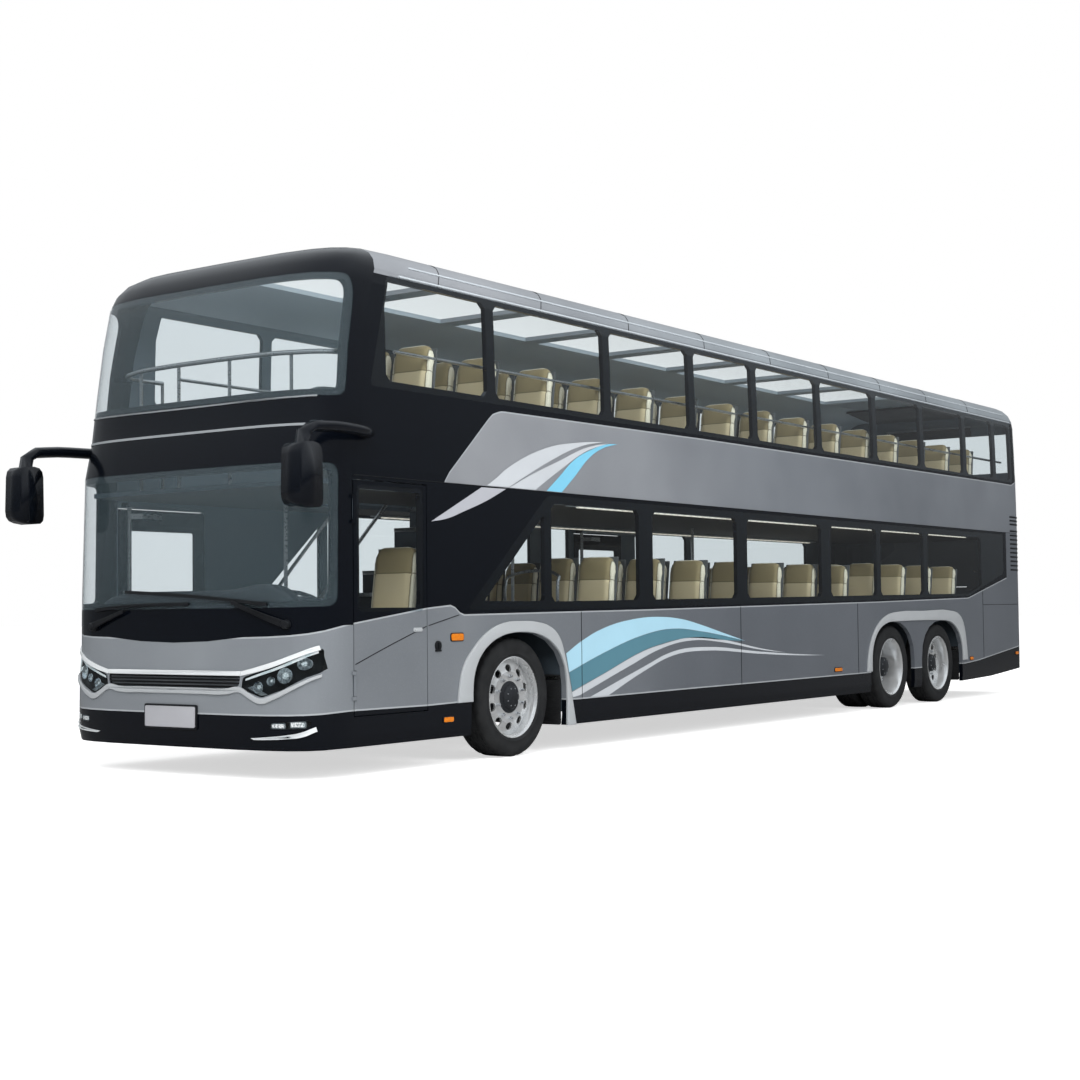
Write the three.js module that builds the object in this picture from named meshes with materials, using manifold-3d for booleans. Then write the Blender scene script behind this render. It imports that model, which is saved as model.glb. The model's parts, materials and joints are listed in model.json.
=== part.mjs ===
// A three-axle double-deck sightseeing bus, 14.1 m long, left-hand drive.
// Millimetres. +X is forward, +Y is the driver's (left) side, +Z is up.
// Stations along X are measured from the joint between the front cap and the side walls.
import * as THREE from 'three';
import { mergeVertices } from 'three/addons/utils/BufferGeometryUtils.js';
import Module from 'manifold-3d';

const wasm = await Module();
wasm.setup();

// ---------------------------------------------------------------- driving dimensions
const HALF_WIDTH = 1275;          // body side from the centre plane
const NOSE_X = 514;               // foremost point of the front panel
const TAIL_X = -13600;            // rear face
const SKIRT_BOTTOM = 215;
const ROOF_TOP = 3900;
const WALL = 45;                  // thickness of every wall, door and roof panel
const GLASS_THICK = 6;
const GLASS_IN = 0.5;             // a pane's outer face behind the body's outer face
const GAP = 0.4;                  // between pieces that are fixed against each other
const PIN_GAP = 0.4;              // radial clearance of a hinge pin or king pin
const RUN_GAP = 8;                // around doors and lids

const DECK_LINE = 2145;           // joint between the lower and the upper side walls
const ROOF_LINE = ROOF_TOP - 230; // joint between the side walls and the roof
const TRIM_LINE = 2490;           // joint between the two screens' surrounds
const TAIL_JOINT = TAIL_X + 170;  // joint between the side walls and the rear wall
const TAIL_RADIUS = 150;          // rear corners in plan
const CAP_REACH = 520;            // length of the front cap's rounded plan
const CAP_POWER = 4.2;            // squareness of the cap in plan

const TYRE_RADIUS = 482;
const TYRE_WIDTH = 272;
const RIM_RADIUS = 318;
const WHEEL_FACE = HALF_WIDTH - 40;   // outer face of the tyres from the centre plane
const TWIN_GAP = 44;              // between the two tyres of a drive wheel
const FRONT_AXLE_X = -2000;
const DRIVE_AXLE_X = -9360;
const TAG_AXLE_X = -10755;
const KING_PIN_Y = WHEEL_FACE - 375;

const LOWER_FLOOR = 360;          // top of the lower deck's aisle floor
const UPPER_FLOOR = 2110;         // top of the upper deck's floor
const FLOOR_THICK = 35;
const SEAT_STEP = 170;            // height of the platforms under the lower seats
const AISLE_HALF = 330;
const FAR = 20000;                // beyond the bus in every direction

// ---------------------------------------------------------------- solids from geometries
function toSolid(geometry) {
  const bare = geometry.index ? geometry.toNonIndexed() : geometry.clone();
  bare.deleteAttribute('normal');
  bare.deleteAttribute('uv');
  const merged = mergeVertices(bare, 1e-3);
  const vertProperties = new Float32Array(merged.attributes.position.array);
  const corners = [];
  for (let i = 0; i < merged.index.count; i += 3) {
    const [a, b, c] = merged.index.array.slice(i, i + 3);
    if (a !== b && b !== c && c !== a) corners.push(a, b, c);
  }
  const triVerts = new Uint32Array(corners);
  return new wasm.Manifold(new wasm.Mesh({ numProp: 3, vertProperties, triVerts }));
}

function toGeometry(solid) {
  const { vertProperties, triVerts, numProp } = solid.getMesh();
  const positions = new Float32Array((vertProperties.length / numProp) * 3);
  for (let i = 0; i < positions.length / 3; i += 1) {
    for (let k = 0; k < 3; k += 1) positions[3 * i + k] = vertProperties[numProp * i + k];
  }
  const geometry = new THREE.BufferGeometry();
  geometry.setAttribute('position', new THREE.BufferAttribute(positions, 3));
  geometry.setIndex([...triVerts]);
  geometry.computeVertexNormals();
  return geometry;
}

function unite(solids) {
  return solids.reduce((sum, next) => sum.add(next));
}

function box(x0, x1, y0, y1, z0, z1) {
  const geometry = new THREE.BoxGeometry(x1 - x0, y1 - y0, z1 - z0);
  geometry.translate((x0 + x1) / 2, (y0 + y1) / 2, (z0 + z1) / 2);
  return toSolid(geometry);
}

// A block that reaches past the bus wherever a limit isn't given.
function region({ x0 = -FAR, x1 = FAR, y0 = -FAR, y1 = FAR, z0 = -FAR, z1 = FAR }) {
  return box(x0, x1, y0, y1, z0, z1);
}

// The stretch [near, far] from the centre plane, on the left (side 1) or the right (side -1).
function acrossFrom(side, near, far) {
  return side > 0 ? [near, far] : [-far, -near];
}

// A closed outline of [a, b] corners, each rounded by `radius`.
function outline(corners, radius = 0, steps = 3) {
  if (!radius) return corners.map(([a, b]) => new THREE.Vector2(a, b));
  const points = [];
  corners.forEach(([a, b], i) => {
    const here = new THREE.Vector2(a, b);
    const before = new THREE.Vector2(...corners.at(i - 1)).sub(here);
    const after = new THREE.Vector2(...corners[(i + 1) % corners.length]).sub(here);
    const reach = Math.min(radius, before.length() / 2.2, after.length() / 2.2);
    const from = here.clone().add(before.setLength(reach));
    const to = here.clone().add(after.setLength(reach));
    points.push(...new THREE.QuadraticBezierCurve(from, here, to).getPoints(steps));
  });
  return points;
}

// Moves every edge of an outline outwards by `by`.
function grow(points, by) {
  const way = Math.sign(THREE.ShapeUtils.area(points)) * by;
  return points.map((point, i) => {
    const arriving = point.clone().sub(points.at(i - 1)).normalize();
    const leaving = points[(i + 1) % points.length].clone().sub(point).normalize();
    const normal = new THREE.Vector2(arriving.y + leaving.y, -arriving.x - leaving.x);
    return point.clone().add(normal.multiplyScalar(way / (1 + arriving.dot(leaving))));
  });
}

// A pane's outline, or the same moved inwards by `inset` with its corners rounded to match.
function pane({ corners, radius }, inset = 0) {
  return outline(grow(outline(corners), -inset), Math.max(GAP, radius - inset), 3);
}

function rectangle(a0, a1, b0, b1) {
  return [[a0, b0], [a1, b0], [a1, b1], [a0, b1]];
}

function extrude(points, from, to) {
  const geometry = new THREE.ExtrudeGeometry(new THREE.Shape(points), { depth: to - from, bevelEnabled: false });
  geometry.translate(0, 0, from);
  return geometry;
}

// Points are [x, z]; the prism runs across the bus from y0 to y1.
function prismAcross(points, y0 = -FAR, y1 = FAR) {
  const geometry = extrude(points, -y1, -y0);
  geometry.rotateX(Math.PI / 2);
  return toSolid(geometry);
}

// Points are [y, z]; the prism runs along the bus from x0 to x1.
function prismAlong(points, x0, x1) {
  const geometry = extrude(points, x0, x1);
  geometry.applyMatrix4(new THREE.Matrix4().set(0, 0, 1, 0, 1, 0, 0, 0, 0, 1, 0, 0, 0, 0, 0, 1));
  return toSolid(geometry);
}

// Points are [x, y]; the prism runs upwards from z0 to z1.
function prismUp(points, z0, z1) {
  return toSolid(extrude(points, z0, z1));
}

const ROD_SIDES = 12;
function rod(axis, radius, centre, from, to, sides = ROD_SIDES) {
  const geometry = new THREE.CylinderGeometry(radius, radius, to - from, sides);
  geometry.translate(0, (from + to) / 2, 0);
  if (axis === 'z') geometry.rotateX(Math.PI / 2);
  if (axis === 'x') geometry.rotateZ(-Math.PI / 2);
  geometry.translate(...centre);
  return toSolid(geometry);
}

// A bore whose flats clear a faceted pin's corners at every angle.
function boreRadius(pinRadius, sides = ROD_SIDES) {
  return (pinRadius + PIN_GAP) / Math.cos(Math.PI / sides);
}

// ---------------------------------------------------------------- materials and nodes
const FINISH = {
  silver: { color: 0x8b8d92, metalness: 0.7, roughness: 0.35 },
  black: { color: 0x0c0d10, metalness: 0.2, roughness: 0.25 },
  glass: { color: 0x5a686c, metalness: 0.1, roughness: 0.08 },
  steel: { color: 0x44484c, metalness: 0.8, roughness: 0.5 },
  rubber: { color: 0x17181a, metalness: 0, roughness: 0.85 },
  floor: { color: 0x4c4a48, metalness: 0, roughness: 0.8 },
  leather: { color: 0xb9a988, metalness: 0, roughness: 0.6 },
  trim: { color: 0x24262a, metalness: 0, roughness: 0.6 },
  red: { color: 0x8c1210, metalness: 0, roughness: 0.2 },
};

const bus = new THREE.Group();

function addNode(name, finish, solid) {
  const mesh = new THREE.Mesh(toGeometry(solid), new THREE.MeshStandardMaterial(FINISH[finish]));
  mesh.name = name;
  bus.add(mesh);
  return mesh;
}

// ---------------------------------------------------------------- the body's skin
// Horizontal sections, from the skirt to the roof. Columns: height, how far the sides lie inside
// the full half width, how far the nose lies behind NOSE_X, how far the tail lies ahead of TAIL_X.
const SECTIONS = [
  [SKIRT_BOTTOM, 12, 14, 10],
  [300, 0, 0, 0],
  [700, 0, 4, 0],
  [900, 0, 22, 0],
  [1280, 0, 24, 0],
  [2210, 0, 54, 0],
  [TRIM_LINE, 3, 116, 0],
  [TRIM_LINE + 350, 8, 159, 0],
  [ROOF_TOP - 650, 17, 216, 0],
  [ROOF_TOP - 340, 29, 276, 0],
  [ROOF_TOP - 230, 44, 329, 10],
  [ROOF_TOP - 150, 78, 404, 35],
  [ROOF_TOP - 90, 133, 509, 80],
  [ROOF_TOP - 50, 210, 654, 145],
  [ROOF_TOP - 22, 325, 854, 240],
  [ROOF_TOP - 6, 500, 1154, 400],
  [ROOF_TOP, 760, 1564, 650],
];
const SHOULDER_Z = ROOF_TOP - 340;  // above it the skin turns over into the roof
const NOSE_STEPS = 12;
const TAIL_STEPS = 3;

// The plan outline of one section, anticlockwise from the right side of the nose.
function planOutline(half, nose, tail) {
  const points = [];
  for (let i = 0; i <= NOSE_STEPS; i += 1) {
    const turn = -Math.PI / 2 + (Math.PI * i) / NOSE_STEPS;
    const c = Math.abs(Math.cos(turn)) ** (2 / CAP_POWER);
    const s = Math.sign(Math.sin(turn)) * Math.abs(Math.sin(turn)) ** (2 / CAP_POWER);
    points.push([nose - CAP_REACH + CAP_REACH * c, half * s]);
  }
  for (const side of [1, -1]) {
    for (let i = 0; i <= TAIL_STEPS; i += 1) {
      const turn = (Math.PI / 2) * (side > 0 ? i / TAIL_STEPS : 1 - i / TAIL_STEPS);
      points.push([tail + TAIL_RADIUS - TAIL_RADIUS * Math.sin(turn),
        side * (half - TAIL_RADIUS + TAIL_RADIUS * Math.cos(turn))]);
    }
  }
  return points;
}

// The whole body as one solid, shrunk by `inset` everywhere but at its bottom.
function bodySolid(inset, bottom = SKIRT_BOTTOM) {
  const rings = SECTIONS.map(([z, side, nose, tail], i) => {
    const turnedOver = Math.max(0, (z - SHOULDER_Z) / (ROOF_TOP - SHOULDER_Z));
    const height = i === 0 ? bottom : z - inset * turnedOver;
    return planOutline(HALF_WIDTH - side - inset, NOSE_X - nose - inset, TAIL_X + tail + inset)
      .map(([x, y]) => [x, y, height]);
  });
  const count = rings[0].length;
  const index = [];
  for (let r = 0; r + 1 < rings.length; r += 1) {
    for (let i = 0; i < count; i += 1) {
      const a = r * count + i;
      const b = r * count + ((i + 1) % count);
      index.push(a, b, b + count, a, b + count, a + count);
    }
  }
  const top = (rings.length - 1) * count;
  for (let i = 1; i + 1 < count; i += 1) {
    index.push(0, i + 1, i);
    index.push(top, top + i, top + i + 1);
  }
  const geometry = new THREE.BufferGeometry();
  geometry.setAttribute('position', new THREE.Float32BufferAttribute(rings.flat(2), 3));
  geometry.setIndex(index);
  return toSolid(geometry);
}

const BELOW_SKIRT = SKIRT_BOTTOM - 60;
const shell = bodySolid(0).subtract(bodySolid(WALL, BELOW_SKIRT));
const cabin = bodySolid(WALL + GAP, BELOW_SKIRT);
const rebateCore = bodySolid(GLASS_IN + GLASS_THICK + GAP, BELOW_SKIRT);  // what a pane's rebate leaves
const glassSkin = bodySolid(GLASS_IN).subtract(bodySolid(GLASS_IN + GLASS_THICK, BELOW_SKIRT));

// The cap joint is upright up to the lower windscreen's top and then leans back with the nose.
const CAP_JOINT = [[-30, 0], [-30, 2300], [-60, 2450], [-130, 2700], [-190, ROOF_LINE - 470], [-285, ROOF_LINE - 100],
  [-330, ROOF_LINE], [-520, ROOF_TOP + 300]];
function aheadOfCapJoint(shift) {
  const line = CAP_JOINT.map(([x, z]) => [x + shift, z]);
  return prismAcross(outline([...line, [FAR, ROOF_TOP + 300], [FAR, 0]]));
}
const capShell = shell.intersect(aheadOfCapJoint(GAP / 2));
const sideShell = shell.subtract(aheadOfCapJoint(-GAP / 2)).intersect(region({ x0: TAIL_JOINT + GAP / 2 }));
const wallsShell = sideShell.intersect(region({ z1: ROOF_LINE - GAP / 2 }));

// The tail's underside rises behind the last axle.
const departure = prismAcross(outline([[-11200, 0], [-11200, SKIRT_BOTTOM + 11], [-12400, SKIRT_BOTTOM + 41],
  [TAIL_X - 100, SKIRT_BOTTOM + 125], [TAIL_X - 100, 0]]));

// ---------------------------------------------------------------- wheel arches
const ARCH_SPRING = TYRE_RADIUS + 58;      // height at which an arch starts to round over
const ARCH_TOP = 2 * TYRE_RADIUS + 36;
const ARCH_STEPS = 10;
const ARCH_ROUNDNESS = 0.88;
// Columns: the arch's middle station and its half length.
const ARCHES = [
  [FRONT_AXLE_X - 20, TYRE_RADIUS + 158],
  [DRIVE_AXLE_X + 60, TYRE_RADIUS + 128],
  [TAG_AXLE_X - 20, TYRE_RADIUS + 158],
];
function archOutline([middle, half]) {
  const points = [[middle - half, 0]];
  for (let i = 0; i <= ARCH_STEPS; i += 1) {
    const turn = Math.PI - (Math.PI * i) / ARCH_STEPS;
    const c = Math.sign(Math.cos(turn)) * Math.abs(Math.cos(turn)) ** ARCH_ROUNDNESS;
    points.push([middle + half * c, ARCH_SPRING + (ARCH_TOP - ARCH_SPRING) * Math.sin(turn) ** ARCH_ROUNDNESS]);
  }
  points.push([middle + half, 0]);
  return outline(points);
}
const archCuts = unite(ARCHES.map((arch) => prismAcross(archOutline(arch))));

// ---------------------------------------------------------------- windows
const BAND_TOP = DECK_LINE - 30;
const PANE_LAND = 28;             // the wall's land behind a bonded pane's edge
const SIDE_DEPTH = [HALF_WIDTH - 375, HALF_WIDTH + 225];  // reach of the cuts through one side
function cutSide(points, side) {
  return prismAcross(points, ...acrossFrom(side, ...SIDE_DEPTH));
}

// Lower glass band on a side wall, [x, z]: slanted ahead, tapering towards the tail.
const LOWER_BAND = {
  corners: [[-1330, 1175], [-2420, BAND_TOP], [-12950, BAND_TOP], [-12950, 1600], [-11700, 1300],
    [-8900, 1245], [-5000, 1200], [-2900, 1178]],
  radius: 60,
};
const LOWER_BAYS = { front: -2480, rear: -12140, top: BAND_TOP - 65 };
// Pillars behind the lower band. Columns: centre station, width.
const LOWER_PILLARS = [[-3955, 230], [-5740, 210], [-7610, 230], [-8960, 110], [-10320, 130]];
const SILL_START = -2900;
const CORNER_SILL = 1245;
const lowerSill = (x) => CORNER_SILL + 0.0092 * (SILL_START - x);    // the sill rises towards the tail
const CORNER_PANE = { corners: [[-1560, CORNER_SILL], [-2380, CORNER_SILL], [-2380, 1960]], radius: 40 };

// Upper glass band: it leans back with the cap's joint.
const UPPER_BAND_TOP = ROOF_LINE - 30;
const UPPER_BAND = {
  corners: [[-232, 2800], [-455, UPPER_BAND_TOP], [TAIL_JOINT + 60, UPPER_BAND_TOP], [TAIL_JOINT + 60, 2830],
    [-1500, 2805]],
  radius: 50,
};
const UPPER_BAYS = { front: -420, rear: TAIL_JOINT + 120, top: UPPER_BAND_TOP - 40 };
const UPPER_PILLARS = [-1690, -3370, -4830, -6070, -7520, -8950, -10310, -11680, -12720].map((x) => [x, 110]);
const upperSill = () => 2855;

// The openings between the pillars of one band.
function paneOpenings({ front, rear, top }, pillars, sill, band, side) {
  const starts = [front, ...pillars.map(([x, width]) => x - width / 2)];
  const ends = [...pillars.map(([x, width]) => x + width / 2), rear];
  const bays = starts.map((x0, i) => {
    const x1 = ends[i];
    return cutSide(outline([[x0, sill(x0)], [x1, sill(x1)], [x1, top], [x0, top]], 45, 1), side);
  });
  return unite(bays).intersect(cutSide(pane(band, PANE_LAND), side));
}

// ---------------------------------------------------------------- doors' outlines
const DRIVER_DOOR = { front: -38, rear: -846, low: 438, high: DECK_LINE - 35 };
const ENTRANCE_DOOR = { front: -48, rear: -960, low: 300, high: UPPER_FLOOR - 100 };
const MIDDLE_DOOR = { front: -6470, rear: -7415, low: 300, high: UPPER_FLOOR - 100 };
const MIDDLE_JAMB = 110;          // solid wall beside the middle door, inside the glass band
function doorway({ front, rear, low, high }, side, clear = 0) {
  return cutSide(outline(rectangle(rear - clear, front + clear, low - clear, high + clear)), side);
}

// ---------------------------------------------------------------- side walls and their glass
function sideLower(side) {
  const half = region({ z1: DECK_LINE - GAP / 2, ...(side > 0 ? { y0: 0 } : { y1: 0 }) });
  let wall = wallsShell.intersect(half).subtract(departure).subtract(archCuts);
  wall = wall.subtract(cutSide(pane(LOWER_BAND), side).subtract(rebateCore));
  wall = wall.subtract(paneOpenings(LOWER_BAYS, LOWER_PILLARS, lowerSill, LOWER_BAND, side));
  wall = wall.subtract(cutSide(pane(CORNER_PANE), side));
  if (side < 0) {
    wall = wall.add(box(MIDDLE_DOOR.rear - MIDDLE_JAMB, MIDDLE_DOOR.front + MIDDLE_JAMB, -HALF_WIDTH,
      -HALF_WIDTH + WALL, lowerSill(MIDDLE_DOOR.rear) - 100, BAND_TOP + 5));
  }
  const doors = side > 0 ? [DRIVER_DOOR] : [ENTRANCE_DOOR, MIDDLE_DOOR];
  return wall.subtract(unite(doors.map((door) => doorway(door, side, RUN_GAP))));
}

function sideUpper(side) {
  const half = region({ z0: DECK_LINE + GAP / 2, ...(side > 0 ? { y0: 0 } : { y1: 0 }) });
  const wall = wallsShell.intersect(half).subtract(cutSide(pane(UPPER_BAND), side).subtract(rebateCore));
  return wall.subtract(paneOpenings(UPPER_BAYS, UPPER_PILLARS, upperSill, UPPER_BAND, side));
}

const bonded = (band, side) => glassSkin.intersect(cutSide(pane(band, GAP), side));
for (const [word, side] of [['left', 1], ['right', -1]]) {
  addNode(`side_wall_upper_${word}`, 'silver', sideUpper(side));
  addNode(`glass_upper_${word}`, 'glass', bonded(UPPER_BAND, side));
}
const JAMB_SEAL = MIDDLE_JAMB + 2;
addNode('glass_lower_left', 'glass', bonded(LOWER_BAND, 1));
addNode('glass_lower_right_front', 'glass',
  bonded(LOWER_BAND, -1).intersect(region({ x0: MIDDLE_DOOR.front + JAMB_SEAL })));
addNode('glass_lower_right_rear', 'glass',
  bonded(LOWER_BAND, -1).intersect(region({ x1: MIDDLE_DOOR.rear - JAMB_SEAL })));

// ---------------------------------------------------------------- front cap
// The silver front panel ends at a line that climbs from the middle to the sides.
const DASH_LINE_MID = 962;
const DASH_LINE_RISE = 133;
const DASH_STEPS = 8;
function dashLine(shift) {
  return Array.from({ length: DASH_STEPS + 1 }, (_, i) => {
    const y = (HALF_WIDTH + 125) * ((2 * i) / DASH_STEPS - 1);
    return [y, DASH_LINE_MID + DASH_LINE_RISE * Math.min(1, Math.abs(y) / HALF_WIDTH) ** 2 + shift];
  });
}
const dashEnd = HALF_WIDTH + 125;
const belowDash = prismAlong(outline([...dashLine(-GAP / 2), [dashEnd, 0], [-dashEnd, 0]]), -FAR, FAR);
const aboveDash = prismAlong(outline([...dashLine(GAP / 2), [dashEnd, FAR], [-dashEnd, FAR]]), -FAR, FAR);

// Lamps are the skin inside an outline seen from ahead, behind which the wall is cut.
// Their corners are [inwards from the body's side, z].
const fromSide = ([inwards, z]) => [HALF_WIDTH - inwards, z];
const FRONT_LAMPS = {
  headlamp: {
    corners: [[575, 640], [563, 722], [275, 812], [23, 925], [17, 760], [225, 640], [395, 582]].map(fromSide),
    back: 190,
  },
  fog_lamp: { corners: [[330, 362], [330, 408], [60, 428], [70, 372]].map(fromSide), back: 220 },
};
function lampPrism(corners, back, side, shrink) {
  const points = grow(outline(corners, 20, 2), -shrink).map(({ x, y }) => new THREE.Vector2(x * side, y));
  return prismAlong(points, back + shrink, NOSE_X + 100);
}
const GRILLE_HALF = HALF_WIDTH - 585;
const GRILLE = outline([[-GRILLE_HALF, 735], [GRILLE_HALF, 735], [GRILLE_HALF - 10, 660],
  [GRILLE_HALF - 130, 640], [130 - GRILLE_HALF, 640], [10 - GRILLE_HALF, 660]], 20, 2);
const GRILLE_DEPTH = 20;
const frontSkin = capShell.intersect(belowDash);
let frontPanel = frontSkin.subtract(prismAlong(GRILLE, 0, NOSE_X + 100).subtract(bodySolid(GRILLE_DEPTH, 0)));
for (const [word, side] of [['left', 1], ['right', -1]]) {
  for (const [name, { corners, back }] of Object.entries(FRONT_LAMPS)) {
    frontPanel = frontPanel.subtract(lampPrism(corners, back, side, 0));
    addNode(`${name}_${word}`, 'glass', frontSkin.intersect(lampPrism(corners, back, side, GAP)));
  }
}

// Screens: outlines seen from the side, [x, z]; they wrap round the body's corners.
const SCREEN_LAND = 45;           // the surround's land behind a screen's edge
const ahead = NOSE_X + 400;
const WINDSCREEN = { corners: [[120, 1215], [105, 2215], [ahead, 2215], [ahead, 1195]], radius: 90 };
const UPPER_SCREEN = {
  corners: [[20, 2700], [-15, 3050], [-95, ROOF_TOP - 430], [-60, ROOF_TOP - 310], [ahead, ROOF_TOP - 310],
    [ahead, 2675]],
  radius: 90,
};
const behind = TAIL_X - 400;
const REAR_SCREEN_TALL = 620;
const REAR_SILL = SHOULDER_Z - REAR_SCREEN_TALL;
const REAR_SCREEN = {
  corners: [[TAIL_JOINT - 22, REAR_SILL], [TAIL_JOINT - 22, SHOULDER_Z], [behind, SHOULDER_Z], [behind, REAR_SILL]],
  radius: 60,
};
function cutScreen(wall, screen) {
  const rebate = prismAcross(pane(screen)).subtract(rebateCore);
  return wall.subtract(rebate).subtract(prismAcross(pane(screen, SCREEN_LAND)));
}
const screenGlass = (screen) => glassSkin.intersect(prismAcross(pane(screen, GAP)));
const surroundShell = capShell.intersect(aboveDash).intersect(region({ z1: TRIM_LINE - GAP / 2 }));
const windscreenSurround = cutScreen(surroundShell, WINDSCREEN);
addNode('windscreen', 'glass', screenGlass(WINDSCREEN));
addNode('upper_screen_surround', 'black',
  cutScreen(capShell.intersect(region({ z0: TRIM_LINE + GAP / 2 })), UPPER_SCREEN));
addNode('upper_windscreen', 'glass', screenGlass(UPPER_SCREEN));

// ---------------------------------------------------------------- roof with a row of skylights
// One bonded pane lies over all the skylights; the roof's cross beams show between them.
const SKYLIGHT = { first: -800, pitch: 1350, length: 1140, half: 540, count: 8 };
const ROOF_PANE = {
  front: SKYLIGHT.first + 60,
  rear: SKYLIGHT.first - SKYLIGHT.pitch * (SKYLIGHT.count - 1) - SKYLIGHT.length - 60,
  half: SKYLIGHT.half + 60,
};
const roofPane = {
  corners: rectangle(ROOF_PANE.rear, ROOF_PANE.front, -ROOF_PANE.half, ROOF_PANE.half),
  radius: 80,
};
const roofTop = [ROOF_TOP - 150, ROOF_TOP + 100];
let roof = sideShell.intersect(region({ z0: ROOF_LINE + GAP / 2 }));
roof = roof.subtract(prismUp(pane(roofPane), ...roofTop).subtract(rebateCore));
for (let i = 0; i < SKYLIGHT.count; i += 1) {
  const x = SKYLIGHT.first - SKYLIGHT.pitch * i;
  roof = roof.subtract(box(x - SKYLIGHT.length, x, -SKYLIGHT.half, SKYLIGHT.half, ...roofTop));
}
addNode('roof', 'silver', roof);
addNode('roof_glass', 'glass', glassSkin.intersect(prismUp(pane(roofPane, GAP), ...roofTop)));

// ---------------------------------------------------------------- hinges
const HINGE_RADIUS = 9;           // eye round the pin
const HINGE_PIN = 5;
const HINGE_OUT = 4;              // pin's centre outside the body's face
const EYE_LENGTH = 90;            // from a hinge's middle to its ears
const EAR_HALF = 12;
const EAR_CLEAR = 4;              // between an eye's end and an ear
const NOTCH_RADIUS = 26;          // cut-outs in a leaf round the fixed ears
// The pin and the ears belong to the body, the eye to the door or lid that turns.
function hinge(axis, centre, middle) {
  const earMiddles = [middle - EYE_LENGTH, middle + EYE_LENGTH];
  const spans = earMiddles.map((at) => [at - EAR_HALF, at + EAR_HALF]);
  const eyeHalf = EYE_LENGTH - EAR_HALF - EAR_CLEAR;
  return {
    spans,
    eyeSpan: [middle - eyeHalf, middle + eyeHalf],
    pin: rod(axis, HINGE_PIN, centre, middle - EYE_LENGTH, middle + EYE_LENGTH),
    eye: rod(axis, HINGE_RADIUS, centre, middle - eyeHalf, middle + eyeHalf),
    bore: rod(axis, boreRadius(HINGE_PIN), centre, middle - 2 * EYE_LENGTH, middle + 2 * EYE_LENGTH),
    room: rod(axis, HINGE_RADIUS + 6, centre, ...[spans[0][1], spans[1][0]]),
    notches: unite(spans.map(([from, to]) => rod(axis, NOTCH_RADIUS, centre, from - 6, to + 6))),
  };
}

// ---------------------------------------------------------------- rear wall and engine lid
const LID = { half: HALF_WIDTH - 395, low: 520, high: 1430 };
const LID_HINGES = [-600, 600];
const LOUVRE = { half: 560, height: 26, pitch: 62, low: 860, count: 6 };
const TAIL_LAMP = [[290, 860], [90, 900], [90, 1560], [215, 1560], [290, 1450]].map(fromSide);
const lidAxis = [TAIL_X - HINGE_OUT, 0, LID.high + HINGE_OUT];
const nearTail = [TAIL_X - 100, TAIL_X + 100];
const lidOutline = outline(rectangle(-LID.half, LID.half, LID.low, LID.high));
const tailLamp = (side, shrink) => prismAlong(
  grow(outline(TAIL_LAMP, 30, 2), -shrink).map(({ x, y }) => new THREE.Vector2(x * side, y)), ...nearTail);
const tailShell = shell.intersect(region({ x1: TAIL_JOINT - GAP / 2 }));
let rearWall = cutScreen(tailShell.subtract(departure), REAR_SCREEN);
rearWall = rearWall.subtract(prismAlong(grow(lidOutline, RUN_GAP), ...nearTail));
let lid = shell.intersect(prismAlong(lidOutline, ...nearTail));
for (const y of LID_HINGES) {
  const { pin, eye, bore, room, notches, spans, eyeSpan } = hinge('y', lidAxis, y);
  const outer = TAIL_X - HINGE_OUT - HINGE_RADIUS;
  const top = LID.high + 45;
  const ears = spans.flatMap((span) => [
    box(outer, TAIL_X - GAP, ...span, lidAxis[2] - HINGE_RADIUS, top),
    box(outer, TAIL_X + 10, ...span, LID.high + RUN_GAP + 2, top),
  ]);
  rearWall = rearWall.subtract(room).add(unite([pin, ...ears]));
  const leaf = box(TAIL_X - HINGE_OUT, TAIL_X + 8, ...eyeSpan, LID.high - 30, LID.high + 2);
  lid = lid.subtract(notches).add(eye).add(leaf).subtract(bore);
}
for (let i = 0; i < LOUVRE.count; i += 1) {
  const z = LOUVRE.low + LOUVRE.pitch * i;
  lid = lid.subtract(box(...nearTail, -LOUVRE.half, LOUVRE.half, z, z + LOUVRE.height));
}
for (const [word, side] of [['left', 1], ['right', -1]]) {
  rearWall = rearWall.subtract(tailLamp(side, 0));
  addNode(`tail_lamp_${word}`, 'red', tailShell.intersect(tailLamp(side, GAP)));
}
addNode('rear_wall', 'silver', rearWall);
addNode('rear_window', 'glass', screenGlass(REAR_SCREEN));
addNode('engine_lid', 'silver', lid);

// ---------------------------------------------------------------- door leaves
const DOOR_LAND = 30;             // frame round a door's glass
function doorLeaf(door, side, low, high, rim) {
  const light = { corners: rectangle(door.rear + rim, door.front - rim, low, high), radius: 50 };
  const leaf = shell.intersect(doorway(door, side))
    .subtract(cutSide(pane(light), side).subtract(rebateCore))
    .subtract(cutSide(pane(light, DOOR_LAND), side));
  return { leaf, glass: bonded(light, side) };
}

// The driver's door hangs on two hinges at its front edge; the pins stand on the front cap.
const DRIVER_HINGE_ZS = [650, 1900];
const driverAxis = [DRIVER_DOOR.front + 2, HALF_WIDTH + HINGE_OUT, 0];
const driverHinges = DRIVER_HINGE_ZS.map((z) => hinge('z', driverAxis, z));
const driverDoor = doorLeaf(DRIVER_DOOR, 1, 1170, DRIVER_DOOR.high - 30, 35);
let driverLeaf = driverDoor.leaf;
for (const { eye, bore, notches, eyeSpan } of driverHinges) {
  const plate = box(DRIVER_DOOR.front - 30, driverAxis[0], HALF_WIDTH - 8, driverAxis[1], ...eyeSpan);
  driverLeaf = driverLeaf.subtract(notches).add(eye).add(plate).subtract(bore);
}
addNode('driver_door', 'silver', driverLeaf);
addNode('driver_door_glass', 'glass', driverDoor.glass);
const earOuter = driverAxis[1] + HINGE_RADIUS;
const CAP_SEAT = [-28, -10];      // where a hinge's ears stand on the cap's edge
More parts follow.
